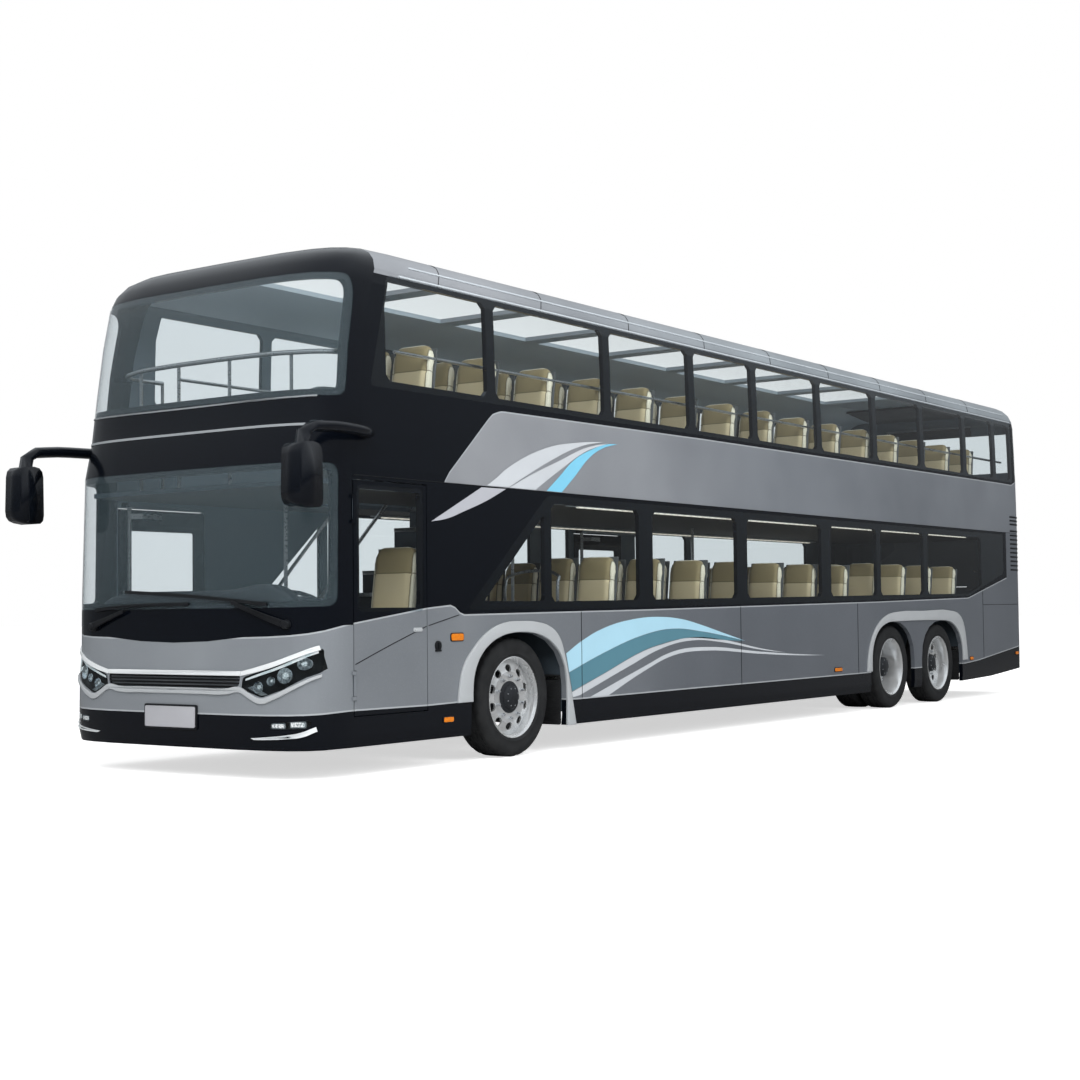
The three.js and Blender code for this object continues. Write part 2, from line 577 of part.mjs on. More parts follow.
const driverPins = driverHinges.map(({ pin, spans }) => unite([pin, ...spans.flatMap((span) => [
  box(driverAxis[0] - HINGE_RADIUS, CAP_SEAT[1], HALF_WIDTH + GAP, earOuter, ...span),
  box(...CAP_SEAT, HALF_WIDTH - 10, earOuter, ...span),
])]));
const eyeRoom = unite(driverHinges.map(({ room }) => room));
addNode('front_panel', 'silver', frontPanel.subtract(eyeRoom).add(driverPins[0]));
addNode('windscreen_surround', 'black', windscreenSurround.subtract(eyeRoom).add(driverPins[1]));

// ---------------------------------------------------------------- swing-out passenger doors
// Each door hangs on a bent arm that turns about a post behind the front jamb;
// the door turns back on the arm's pins, so that it stays parallel to the wall.
const POST_IN = 65;               // post's centre behind the front jamb
const POST_DEPTH = 100;           // post's centre inside the body's outer face
const POST_RADIUS = 18;
const SOCKET_HIGH = 50;           // socket's top above the door
const SOCKET_HALF = 34;
const ARM = { thick: 26, tall: 40, drop: 60, rise: 260, reach: 288, pinDepth: 130, boss: 22 };
// The arm's two bends, from the post: backwards and inwards.
const ARM_BENDS = [[55, 95], [170, 110]];
const DOOR_PIN = 9;
const LUG = { half: 12, offset: 40, side: 20, round: 16 };
const DOOR_WINDOW = { low: 690, high: 1870, rim: 60 };
const wallInner = HALF_WIDTH - WALL;
function swingDoor(name, door) {
  const { leaf, glass } = doorLeaf(door, -1, DOOR_WINDOW.low, DOOR_WINDOW.high, DOOR_WINDOW.rim);
  const post = [door.front - POST_IN, POST_DEPTH - HALF_WIDTH];
  const pin = [post[0] - ARM.reach, ARM.pinDepth - HALF_WIDTH];
  const route = [post, ...ARM_BENDS.map(([back, inwards]) => [post[0] - back, post[1] + inwards]), pin];
  const postTop = door.high + SOCKET_HIGH - 12;
  let arms = rod('z', POST_RADIUS, [...post, 0], LOWER_FLOOR + GAP, postTop);
  let hung = leaf;
  for (const z of [door.low + ARM.rise, door.high - ARM.drop]) {
    const tall = [z - ARM.tall / 2, z + ARM.tall / 2];
    for (let i = 0; i + 1 < route.length; i += 1) {
      const [[x0, y0], [x1, y1]] = [route[i], route[i + 1]];
      const bar = new THREE.BoxGeometry(Math.hypot(x1 - x0, y1 - y0), ARM.thick, ARM.tall);
      bar.rotateZ(Math.atan2(y1 - y0, x1 - x0));
      bar.translate((x0 + x1) / 2, (y0 + y1) / 2, z);
      arms = arms.add(toSolid(bar)).add(rod('z', ARM.thick / 2, [x1, y1, 0], ...tall, 8));
    }
    arms = arms.add(rod('z', ARM.boss, [...pin, 0], ...tall));
    arms = arms.subtract(rod('z', boreRadius(DOOR_PIN), [...pin, 0], z - 2 * ARM.tall, z + 2 * ARM.tall));
    const lugs = [z - LUG.offset, z + LUG.offset].map((at) => box(pin[0] - LUG.side, pin[0] + LUG.side,
      -wallInner - 5, pin[1] + LUG.round, at - LUG.half, at + LUG.half));
    const pinReach = LUG.offset + LUG.half;
    hung = hung.add(unite([rod('z', DOOR_PIN, [...pin, 0], z - pinReach, z + pinReach), ...lugs]));
  }
  addNode(name, 'black', hung);
  addNode(`${name}_glass`, 'glass', glass);
  addNode(`${name}_arm`, 'steel', arms);
  // a socket on the wall's inner face holds the post's upper end
  const block = box(post[0] - SOCKET_HALF, post[0] + SOCKET_HALF, -wallInner - 5, post[1] + SOCKET_HALF,
    door.high + 12, door.high + SOCKET_HIGH);
  const hole = rod('z', boreRadius(POST_RADIUS), [...post, 0], door.high, postTop + PIN_GAP);
  return { post, socket: block.subtract(hole) };
}
const swingDoors = [swingDoor('entrance_door', ENTRANCE_DOOR), swingDoor('middle_door', MIDDLE_DOOR)];
addNode('side_wall_lower_left', 'silver', sideLower(1));
addNode('side_wall_lower_right', 'silver', unite([sideLower(-1), ...swingDoors.map(({ socket }) => socket)]));

// ---------------------------------------------------------------- lower deck
const floorLow = LOWER_FLOOR - FLOOR_THICK;
const HOUSE_WALL = 20;            // sheet of the wheel houses
const HOUSE_INNER = WHEEL_FACE - 645; // inner side of the wheel houses from the centre plane
const HOUSE_TOP = ARCH_TOP + 60;
const FRONT_HOUSE = [ARCHES[0][0] - ARCHES[0][1] - 30, ARCHES[0][0] + ARCHES[0][1] + 30];
const REAR_HOUSE = [ARCHES[2][0] - ARCHES[2][1] - 50, ARCHES[1][0] + ARCHES[1][1] + 50];
const REAR_STEP_X = REAR_HOUSE[1] + 60;      // the aisle's floor rises here, over the rear axles
const FLOOR_FRONT = 330;
const REAR_FLOOR = 640;
const ENGINE_BULKHEAD = -12260;
const ENGINE_SHELF = 1300;
const PLATFORM_FRONT = -3000;
const PLATFORM_SHEET = 30;
const DRIVER_FLOOR = 560;
const DRIVER_PLATFORM = [-1340, 60];
const hollowOuter = wallInner - 50;
function houses(shrink, low) {
  return unite([FRONT_HOUSE, REAR_HOUSE].flatMap(([x0, x1]) => [1, -1].map((side) =>
    box(x0 + shrink, x1 - shrink, ...acrossFrom(side, HOUSE_INNER + shrink, FAR), low, HOUSE_TOP - shrink))));
}
const platformTop = LOWER_FLOOR + SEAT_STEP;
const seatPlatforms = [1, -1].map((side) =>
  box(REAR_HOUSE[1], PLATFORM_FRONT, ...acrossFrom(side, AISLE_HALF, FAR), floorLow, platformTop));
const platformHollows = [1, -1].map((side) => box(
  REAR_HOUSE[1] + PLATFORM_SHEET, PLATFORM_FRONT - PLATFORM_SHEET,
  ...acrossFrom(side, AISLE_HALF + PLATFORM_SHEET, hollowOuter), 0, platformTop - PLATFORM_SHEET));
const driverPlatform = box(...DRIVER_PLATFORM, AISLE_HALF + 50, FAR, floorLow, DRIVER_FLOOR);
const floors = [
  region({ x0: REAR_STEP_X, x1: FLOOR_FRONT, z0: floorLow, z1: LOWER_FLOOR }),
  region({ x0: REAR_STEP_X, x1: REAR_STEP_X + FLOOR_THICK, z0: floorLow, z1: REAR_FLOOR }),
  region({ x0: ENGINE_BULKHEAD, x1: REAR_STEP_X, z0: REAR_FLOOR - FLOOR_THICK, z1: REAR_FLOOR }),
  region({ x0: ENGINE_BULKHEAD, x1: ENGINE_BULKHEAD + 40, z0: floorLow + 60, z1: ENGINE_SHELF }),
  region({ x0: TAIL_X, x1: ENGINE_BULKHEAD + 40, z0: ENGINE_SHELF - 40, z1: ENGINE_SHELF }),
];
// The doorways and the door posts stay clear, and the drive axle passes under the raised floor.
const doorRooms = [ENTRANCE_DOOR, MIDDLE_DOOR].map(({ front, rear, high }) =>
  region({ x0: rear - 30, x1: front + 30, y1: -AISLE_HALF, z0: LOWER_FLOOR, z1: high }));
const SLOT_HALF = HOUSE_INNER + 110;
const axleSlot = box(DRIVE_AXLE_X - 90, DRIVE_AXLE_X + 90, -SLOT_HALF, SLOT_HALF, 0,
  REAR_FLOOR - FLOOR_THICK - 20);
const lowerDeck = unite([...floors, ...seatPlatforms, driverPlatform, houses(0, floorLow)])
  .intersect(cabin)
  .subtract(unite([houses(HOUSE_WALL, 0), ...platformHollows, ...doorRooms, axleSlot]));
addNode('lower_deck', 'floor', lowerDeck);

// ---------------------------------------------------------------- upper deck and stairs
const STAIR = { front: -1150, inner: 60, width: HOUSE_INNER - 70, risers: 9, going: 215, waist: 120 };
const STAIR_WELL = 1.6;           // steps ahead of the upper deck's opening
const stairY = [-STAIR.inner - STAIR.width, -STAIR.inner];
const stairEnd = STAIR.front - STAIR.going * STAIR.risers;
const stairwell = box(stairEnd, STAIR.front - STAIR_WELL * STAIR.going, stairY[0] - 10, stairY[1] + 10,
  UPPER_FLOOR - 100, UPPER_FLOOR + 100);
const upperDeck = region({ x1: 250, z0: UPPER_FLOOR - FLOOR_THICK, z1: UPPER_FLOOR });
addNode('upper_deck', 'floor', upperDeck.intersect(cabin).subtract(stairwell));

// The flight is one closed block of steps; its underside runs parallel to the flight.
const stairFoot = LOWER_FLOOR + GAP;
const stairRise = (UPPER_FLOOR - GAP - stairFoot) / STAIR.risers;
const stairPoints = [[STAIR.front, stairFoot]];
for (let i = 0; i < STAIR.risers; i += 1) {
  const z = stairFoot + stairRise * (i + 1);
  const x = STAIR.front - STAIR.going * i;
  stairPoints.push([x, z], [x - STAIR.going + (i === STAIR.risers - 1 ? GAP : 0), z]);
}
stairPoints.push([stairEnd + GAP, UPPER_FLOOR - FLOOR_THICK - STAIR.waist],
  [STAIR.front - STAIR.going - 0.2 * STAIR.going, stairFoot]);
addNode('stairs', 'floor', prismAcross(outline(stairPoints), ...stairY));

// ---------------------------------------------------------------- seats
const SEAT = { pitch: 790, depth: 450, back: 110, lean: 130, cushion: 120, inner: 350,
  outer: HALF_WIDTH - 70 };
const UPPER_CUSHION = 440;        // cushion's top above the upper floor
const UPPER_SEAT_TOP = 1125;
const LOWER_CUSHION = 420;        // cushion's top above the seat platforms
const LOWER_SEAT_TOP = 1160;
const HOUSE_CUSHION = 125;        // cushion's top above a wheel house
const SEAT_RAIL = { half: 10, tall: 30 };
function seatProfile({ x, base, cushion, top }) {
  const rear = x - SEAT.depth;
  const under = cushion - SEAT.cushion;
  return outline([[x, under], [x, cushion], [rear + 40, cushion], [rear - SEAT.lean + SEAT.back, top],
    [rear - SEAT.lean, top], [rear - 40, under], [rear + 60, base], [x - 120, base]]);
}
// A bank of double seats, held together by the wall rail that carries their outer ends.
function seatBank(name, rows, side, railZ) {
  const seats = rows.map((row) => prismAcross(seatProfile(row), ...acrossFrom(side, SEAT.inner, SEAT.outer)));
  const railSpan = acrossFrom(side, SEAT.outer - SEAT_RAIL.half, SEAT.outer + SEAT_RAIL.half);
  const rail = box(rows.at(-1).x - SEAT.depth, rows[0].x - 100, ...railSpan, railZ, railZ + SEAT_RAIL.tall);
  addNode(name, 'leather', unite([...seats, rail]));
}
function upperRows(from, count) {
  return Array.from({ length: count }, (_, i) => ({ x: from - SEAT.pitch * i, base: UPPER_FLOOR + GAP,
    cushion: UPPER_FLOOR + UPPER_CUSHION, top: UPPER_FLOOR + UPPER_SEAT_TOP }));
}
function lowerRows(from) {
  const rows = [];
  for (let x = from; x > ENGINE_BULKHEAD + 660; x -= SEAT.pitch) {
    const back = x - SEAT.depth - SEAT.lean;
    const overHouse = back < REAR_HOUSE[1] + 20 && x > REAR_HOUSE[0] - 20;
    const behindHouse = x < REAR_HOUSE[0];
    const base = (overHouse ? HOUSE_TOP : behindHouse ? REAR_FLOOR : platformTop) + GAP;
    const cushion = overHouse ? HOUSE_TOP + HOUSE_CUSHION : platformTop + LOWER_CUSHION;
    rows.push({ x, base, cushion, top: platformTop + LOWER_SEAT_TOP });
  }
  return rows;
}
const clearOfMiddleDoor = ({ x }) => x > MIDDLE_DOOR.front + 700 || x < MIDDLE_DOOR.rear - 60;
seatBank('seats_lower_left', lowerRows(PLATFORM_FRONT - 80), 1, HOUSE_TOP + 60);
seatBank('seats_lower_right', lowerRows(PLATFORM_FRONT - 280).filter(clearOfMiddleDoor), -1, HOUSE_TOP + 60);
seatBank('seats_upper_left', upperRows(-560, 15), 1, UPPER_FLOOR + 490);
seatBank('seats_upper_right', upperRows(stairEnd - 265, 12), -1, UPPER_FLOOR + 490);

// ---------------------------------------------------------------- driver's place
const DRIVER_SEAT = { x: -560, y0: HALF_WIDTH - 715, y1: HALF_WIDTH - 215, cushion: 450, top: 1130 };
const driverProfile = seatProfile({
  x: DRIVER_SEAT.x,
  base: DRIVER_FLOOR + GAP,
  cushion: DRIVER_FLOOR + DRIVER_SEAT.cushion,
  top: DRIVER_FLOOR + DRIVER_SEAT.top,
});
addNode('driver_seat', 'leather', prismAcross(driverProfile, DRIVER_SEAT.y0, DRIVER_SEAT.y1));
// The dashboard carries the steering column, which leans forward.
const WHEEL_HUB = [-60, (DRIVER_SEAT.y0 + DRIVER_SEAT.y1) / 2, 1190];
const WHEEL_LEAN = 35;            // degrees of the column from upright
const STEERING = { radius: 225, tube: 16, spoke: 30, column: 30, length: 330 };
const DASH_PROFILE = outline([[FLOOR_FRONT, LOWER_FLOOR + GAP], [FLOOR_FRONT, 1080], [120, 1150], [40, 1120], [60, 900],
  [150, LOWER_FLOOR + GAP]]);
const ring = new THREE.TorusGeometry(STEERING.radius, STEERING.tube, 6, 16);
const spoke = new THREE.BoxGeometry(STEERING.spoke, 2 * STEERING.radius - STEERING.tube, STEERING.spoke);
const column = new THREE.CylinderGeometry(STEERING.column, STEERING.column, STEERING.length, ROD_SIDES);
column.translate(0, STEERING.spoke / 2 - STEERING.length / 2, 0);
column.rotateX(Math.PI / 2);
for (const piece of [ring, spoke, column]) {
  piece.rotateY(THREE.MathUtils.degToRad(-WHEEL_LEAN));
  piece.translate(...WHEEL_HUB);
}
const dashBody = prismAcross(DASH_PROFILE, AISLE_HALF - 660, HALF_WIDTH - 125).intersect(cabin)
  .subtract(box(...DRIVER_PLATFORM, AISLE_HALF, FAR, 0, DRIVER_FLOOR + GAP));
addNode('dashboard', 'trim', unite([dashBody, toSolid(ring), toSolid(spoke), toSolid(column)]));

// ---------------------------------------------------------------- engine and chassis frame
const ENGINE = { rear: -13380, front: -12420, half: 450, low: 470, high: 1180 };
const RAIL = { y: WHEEL_FACE - 895, half: 40, low: 245, front: 150, rear: -13300 };
const CROSS = { first: -300, pitch: 2170, half: 40, tall: 50, reach: HALF_WIDTH - 125, sunk: 2 };
addNode('engine_block', 'steel',
  box(ENGINE.rear, ENGINE.front, -ENGINE.half, ENGINE.half, ENGINE.low, ENGINE.high));
const railTop = floorLow - GAP;
const rail = (side, x0, x1, z0, z1) => box(x0, x1, side * RAIL.y - RAIL.half, side * RAIL.y + RAIL.half, z0, z1);
const frameBars = [1, -1].flatMap((side) => [
  rail(side, RAIL.rear, RAIL.front, RAIL.low, railTop),
  rail(side, RAIL.rear, ENGINE.front - 20, railTop - 5, ENGINE.low - GAP),   // the engine's bearers
]);
for (let x = CROSS.first; x > RAIL.rear; x -= CROSS.pitch) {
  const top = railTop - CROSS.sunk;
  frameBars.push(box(x - CROSS.half, x + CROSS.half, -CROSS.reach, CROSS.reach, top - CROSS.tall, top));
}
addNode('chassis_frame', 'steel', unite(frameBars).subtract(houses(0, 0)).subtract(departure));

// ---------------------------------------------------------------- axles
const WHEEL_SIDES = 20;
const AXLE_Z = TYRE_RADIUS * Math.cos(Math.PI / WHEEL_SIDES);   // the tyre stands on one of its flats
const BEAM = { low: 165, high: 235, half: 70, endHalf: 70, flat: 70, bend: 110 };
const SPRING_PAD = [60, 35];      // half length and half width of the blocks under the frame rails
function axleBeam(x, endY) {
  const level = endY - BEAM.flat;
  const half = [[level - BEAM.bend, BEAM.low], [level, AXLE_Z - BEAM.endHalf], [endY, AXLE_Z - BEAM.endHalf],
    [endY, AXLE_Z + BEAM.endHalf], [level - 20, AXLE_Z + BEAM.endHalf], [level - BEAM.bend - 20, BEAM.high]];
  const whole = outline([...half, ...half.map(([y, z]) => [-y, z]).reverse()]);
  const [padX, padY] = SPRING_PAD;
  const pads = [1, -1].map((side) =>
    box(x - padX, x + padX, side * RAIL.y - padY, side * RAIL.y + padY, BEAM.high - 5, RAIL.low - GAP));
  return unite([prismAlong(whole, x - BEAM.half, x + BEAM.half), ...pads]);
}

// ---------------------------------------------------------------- wheels
// Depths are measured inwards from the tyre's outer face.
const STUB_RADIUS = 60;
const HUB_RADIUS = 118;
const HUB_EDGE = 14;
const HUB_CAP = 30;               // thickness of the hub's outer end
const RIM_WALL = 16;
const DISC_THICK = 14;
const BEAD_IN = 22;               // tyre's bead inside its face
const HAND_HOLE = { count: 10, radius: 36, circle: 216 };
const secondTyre = TYRE_WIDTH + TWIN_GAP;
// Disc depth, outer end and inner end of the hub, and where the tyres start.
const WHEELS = {
  front: { disc: 62, hubOut: 18, hubIn: 165, tyres: [0] },
  drive: { disc: TYRE_WIDTH + TWIN_GAP / 2 - DISC_THICK, hubOut: 80, hubIn: 404, tyres: [0, secondTyre] },
  tag: { disc: 150, hubOut: 70, hubIn: 225, tyres: [0] },
};
function tyreSection(start) {
  const w = TYRE_WIDTH;
  const shoulder = TYRE_RADIUS - 38;
  return [[RIM_RADIUS, BEAD_IN], [shoulder, 0], [TYRE_RADIUS, 36], [TYRE_RADIUS, w - 36], [shoulder, w],
    [RIM_RADIUS, w - BEAD_IN]].map(([radius, depth]) => [radius, start + depth]);
}
function wheel({ disc, hubOut, hubIn, tyres }) {
  const barrel = RIM_RADIUS - RIM_WALL;
  const stub = boreRadius(STUB_RADIUS, WHEEL_SIDES);
  const discBack = disc + DISC_THICK;
  const innerBead = tyres.at(-1) + TYRE_WIDTH - BEAD_IN;
  const profile = [[0, hubOut], [HUB_RADIUS - HUB_EDGE, hubOut], [HUB_RADIUS, hubOut + HUB_EDGE],
    [HUB_RADIUS, disc], [barrel, disc], [barrel, BEAD_IN], ...tyres.flatMap(tyreSection), [barrel, innerBead],
    [barrel, discBack], [HUB_RADIUS, discBack], [HUB_RADIUS, hubIn], [stub, hubIn],
    [stub, hubOut + HUB_CAP], [0, hubOut + HUB_CAP]];
  const points = profile.map(([radius, depth]) => new THREE.Vector2(radius, -depth)).reverse();
  const solid = toSolid(new THREE.LatheGeometry(points, WHEEL_SIDES, Math.PI / WHEEL_SIDES));
  const holes = Array.from({ length: HAND_HOLE.count }, (_, i) => {
    const turn = (2 * Math.PI * i) / HAND_HOLE.count;
    const centre = [HAND_HOLE.circle * Math.cos(turn), 0, HAND_HOLE.circle * Math.sin(turn)];
    return rod('y', HAND_HOLE.radius, centre, -disc - 2 * DISC_THICK, -disc + DISC_THICK, 6);
  });
  return solid.subtract(unite(holes));
}
const AXLES = { front: FRONT_AXLE_X, drive: DRIVE_AXLE_X, tag: TAG_AXLE_X };
for (const [axle, x] of Object.entries(AXLES)) {
  for (const [word, side] of [['left', 1], ['right', -1]]) {
    const mesh = addNode(`wheel_${axle}_${word}`, 'rubber', wheel(WHEELS[axle]));
    mesh.position.set(x, side * WHEEL_FACE, AXLE_Z);
    if (side < 0) mesh.rotation.x = Math.PI;
  }
}
const stubReach = ({ hubOut }) => WHEEL_FACE - hubOut - HUB_CAP - GAP;

// Front axle: a dropped beam with a king pin at each end, and the knuckles that turn on them.
const KING_PIN = { radius: 20, eye: 48, reach: 118, sides: 16 };
const KNUCKLE = { half: 46, earLow: 76, earHigh: 110, plate: [62, 102] };
let frontAxle = axleBeam(FRONT_AXLE_X, KING_PIN_Y);
for (const [word, side] of [['left', 1], ['right', -1]]) {
  const x = FRONT_AXLE_X;
  const at = [x, side * KING_PIN_Y, 0];
  frontAxle = unite([frontAxle, rod('z', KING_PIN.eye, at, AXLE_Z - BEAM.endHalf, AXLE_Z + BEAM.endHalf),
    rod('z', KING_PIN.radius, at, AXLE_Z - KING_PIN.reach, AXLE_Z + KING_PIN.reach, KING_PIN.sides)]);
  const [plateIn, plateOut] = KNUCKLE.plate.map((out) => KING_PIN_Y + out);
  const alongX = [x - KNUCKLE.half, x + KNUCKLE.half];
  const heights = [[-KNUCKLE.earHigh, -KNUCKLE.earLow], [KNUCKLE.earLow, KNUCKLE.earHigh]];
  const ears = heights.flatMap(([low, high]) => [
    rod('z', KNUCKLE.half, at, AXLE_Z + low, AXLE_Z + high),
    box(...alongX, ...acrossFrom(side, KING_PIN_Y, plateOut), AXLE_Z + low, AXLE_Z + high),
  ]);
  const plate = box(...alongX, ...acrossFrom(side, plateIn, plateOut),
    AXLE_Z - KNUCKLE.earHigh, AXLE_Z + KNUCKLE.earHigh);
  const stubSpan = acrossFrom(side, plateIn + 2, stubReach(WHEELS.front));
  const stub = rod('y', STUB_RADIUS, [x, 0, AXLE_Z], ...stubSpan, WHEEL_SIDES);
  const bore = rod('z', boreRadius(KING_PIN.radius, KING_PIN.sides), at, 0, 2 * AXLE_Z, KING_PIN.sides);
  addNode(`knuckle_${word}`, 'steel', unite([...ears, plate, stub]).subtract(bore));
}
addNode('front_axle', 'steel', frontAxle);

// Drive and tag axles: dropped beams with fixed stubs; the drive axle carries its differential.
const BEAM_ENDS = { drive: WHEEL_FACE - WHEELS.drive.hubIn - 200, tag: WHEEL_FACE - WHEELS.tag.hubIn - 110 };
function fixedAxle(axle) {
  const stubs = [1, -1].map((side) => rod('y', STUB_RADIUS, [AXLES[axle], 0, AXLE_Z],
    ...acrossFrom(side, BEAM_ENDS[axle] - 5, stubReach(WHEELS[axle])), WHEEL_SIDES));
  return unite([axleBeam(AXLES[axle], BEAM_ENDS[axle]), ...stubs]);
}
const differential = new THREE.SphereGeometry(165, 12, 8);
differential.scale(1, 1.15, 0.45);
differential.translate(DRIVE_AXLE_X, 0, BEAM.high - 35);
addNode('drive_axle', 'steel', fixedAxle('drive').add(toSolid(differential)));
addNode('tag_axle', 'steel', fixedAxle('tag'));

// ---------------------------------------------------------------- mirrors
// The arm grows out of the upper side wall over the door and carries the head ahead of the corner.
const MIRROR_ROUTE = [[-160, -25, 2440], [-110, 65, 2445], [150, 135, 2450], [450, 175, 2440],
  [640, 180, 2400], [675, 180, 2280]].map(([x, out, z]) => [x, HALF_WIDTH + out, z]);
const MIRROR_ARM = [42, 62];      // half sizes of the arm's oval section
const MIRROR_HEAD = { x0: 560, x1: 790, y0: HALF_WIDTH + 95, y1: HALF_WIDTH + 270, z0: 1860, z1: 2310,
  round: 80 };
const headOutline = outline([[MIRROR_HEAD.x0, MIRROR_HEAD.z0], [MIRROR_HEAD.x1, MIRROR_HEAD.z0 + 30],
  [MIRROR_HEAD.x1 - 10, MIRROR_HEAD.z1], [MIRROR_HEAD.x0 + 10, MIRROR_HEAD.z1]], MIRROR_HEAD.round);
for (const [word, side] of [['left', 1], ['right', -1]]) {
  const route = MIRROR_ROUTE.map(([x, y, z]) => new THREE.Vector3(x, side * y, z));
  const extrudePath = new THREE.CatmullRomCurve3(route);
  const section = new THREE.Shape();
  section.absellipse(0, 0, ...MIRROR_ARM, 0, 2 * Math.PI);
  const alongRoute = { steps: 10, curveSegments: 4, extrudePath, bevelEnabled: false };
  const arm = new THREE.ExtrudeGeometry(section, alongRoute);
  const head = prismAcross(headOutline, ...acrossFrom(side, MIRROR_HEAD.y0, MIRROR_HEAD.y1));
  addNode(`mirror_${word}`, 'black', toSolid(arm).add(head).subtract(bodySolid(-GAP, 0)));
}

// The origin lies on the ground in the middle of the whole bus's plan.
const FOREMOST = MIRROR_HEAD.x1;
const REARMOST = TAIL_X - HINGE_OUT - HINGE_RADIUS;
bus.position.x = -(FOREMOST + REARMOST) / 2;
bus.updateMatrixWorld(true);

export default bus;
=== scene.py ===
# A three-axle double-deck sightseeing bus, 14.1 m long, with tinted glass on both decks.
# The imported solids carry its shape; this script gives them their finishes, smooths the curved
# panels and adds the trim, lamps, seats, wheels and fittings, in metres, +X forward, +Z up.
import json
import math
import bpy
import bmesh
from mathutils import Matrix, Vector

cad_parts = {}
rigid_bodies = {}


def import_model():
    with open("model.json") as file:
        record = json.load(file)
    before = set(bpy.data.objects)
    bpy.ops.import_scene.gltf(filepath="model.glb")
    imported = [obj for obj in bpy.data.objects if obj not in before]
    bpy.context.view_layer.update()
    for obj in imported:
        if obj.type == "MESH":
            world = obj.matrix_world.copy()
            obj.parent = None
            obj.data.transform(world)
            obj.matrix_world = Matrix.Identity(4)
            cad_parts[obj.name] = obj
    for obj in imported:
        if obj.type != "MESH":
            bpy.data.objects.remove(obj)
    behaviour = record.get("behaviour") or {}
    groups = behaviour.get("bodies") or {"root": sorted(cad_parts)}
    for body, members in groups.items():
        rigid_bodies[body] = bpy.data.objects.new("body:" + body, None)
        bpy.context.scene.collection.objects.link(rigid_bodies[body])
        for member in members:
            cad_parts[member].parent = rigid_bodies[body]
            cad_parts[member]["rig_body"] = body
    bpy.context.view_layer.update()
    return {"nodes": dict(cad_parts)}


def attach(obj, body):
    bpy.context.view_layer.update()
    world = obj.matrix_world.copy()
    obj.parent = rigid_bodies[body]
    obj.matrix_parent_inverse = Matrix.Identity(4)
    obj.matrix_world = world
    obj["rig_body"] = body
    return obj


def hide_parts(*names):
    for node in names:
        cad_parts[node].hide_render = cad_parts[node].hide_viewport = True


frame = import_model()
nodes = frame["nodes"]
FRONT_JOINT = 6.4115      # the joint behind the front cap; stations are measured from it

# ------------------------------------------------------------------ camera
# A 56 mm lens on a 36 mm wide sensor stands off the front left corner at chest height,
# turned to look back along the driver's side.
LENS, SENSOR = 56.0, 36.0
EYE = Vector((8.8654 + FRONT_JOINT, 9.2491, 1.1688))
HEADING, RISE, CANT = -2.5218, 0.04185, 0.0104
sight = Vector((math.cos(RISE) * math.cos(HEADING), math.cos(RISE) * math.sin(HEADING), math.sin(RISE)))
level = sight.cross(Vector((0, 0, 1))).normalized()
plumb = sight.cross(level)
right = level * math.cos(CANT) + plumb * math.sin(CANT)
down = plumb * math.cos(CANT) - level * math.sin(CANT)
lens = bpy.data.cameras.new("camera")
lens.lens, lens.sensor_width = LENS, SENSOR
lens.clip_end = 500
camera = bpy.data.objects.new("camera", lens)
camera.matrix_world = Matrix.Translation(EYE) @ Matrix((right, -down, -sight)).transposed().to_4x4()
bpy.context.scene.collection.objects.link(camera)
bpy.context.scene.camera = camera

# ------------------------------------------------------------------ studio
# A pale floor under a white surround, an overcast sky's soft light and two large soft lamps:
# one off the front left corner and a weaker one behind.
scene = bpy.context.scene
scene.view_settings.view_transform = "Standard"
SKY_STRENGTH, FLOOR_GLOW, FLOOR_RADIUS = 0.62, 0.62, 160


def srgb(code):
    """A colour written as sRGB hex, made linear."""
    parts = [int(code[i:i + 2], 16) / 255 for i in (1, 3, 5)]
    return [c / 12.92 if c <= 0.04045 else ((c + 0.055) / 1.055) ** 2.4 for c in parts] + [1.0]


def wire(made, links):
    """Links a node's inputs; a node given as a source stands for the one result that it gives."""
    for name, source in links.items():
        if isinstance(source, bpy.types.Node):
            source = next(socket for socket in source.outputs if socket.enabled)
        made.id_data.links.new(source, made.inputs[name])


def add(tree, kind, settings, links=None):
    """Adds one node with its settings and links; inputs are named, or numbered where names repeat."""
    made = tree.nodes.new("ShaderNode" + kind)
    for name, value in settings.items():
        if isinstance(name, int) or name in made.inputs:
            made.inputs[name].default_value = value
        else:
            setattr(made, name, value)
    wire(made, links or {})
    return made


world = bpy.data.worlds.new("studio")
world.use_nodes = True
scene.world = world
sky = world.node_tree
sky.nodes.clear()
rays = add(sky, "LightPath", {})
seen = add(sky, "Math", {"operation": "MAXIMUM"},
           {0: rays.outputs["Is Camera Ray"], 1: rays.outputs["Is Transmission Ray"]})
height = add(sky, "SeparateXYZ", {}, {0: add(sky, "TexCoord", {}).outputs["Generated"]}).outputs["Z"]
mirrored_sky = add(sky, "MapRange", {"From Min": 0.0, "From Max": 0.75, "To Min": 0.16, "To Max": 1.0},
                   {"Value": height})
lit = add(sky, "Mix", {"data_type": "FLOAT", 2: SKY_STRENGTH},
          {"Factor": rays.outputs["Is Glossy Ray"], 3: mirrored_sky})
strength = add(sky, "Mix", {"data_type": "FLOAT", 3: 1.0}, {"Factor": seen, 2: lit})
cool = add(sky, "Mix", {"data_type": "RGBA", 6: srgb("#ffffff"), 7: srgb("#e6ecf2")},
           {"Factor": rays.outputs["Is Glossy Ray"]})
glow = add(sky, "Background", {}, {"Color": cool, "Strength": strength})
add(sky, "OutputWorld", {}, {"Surface": glow})


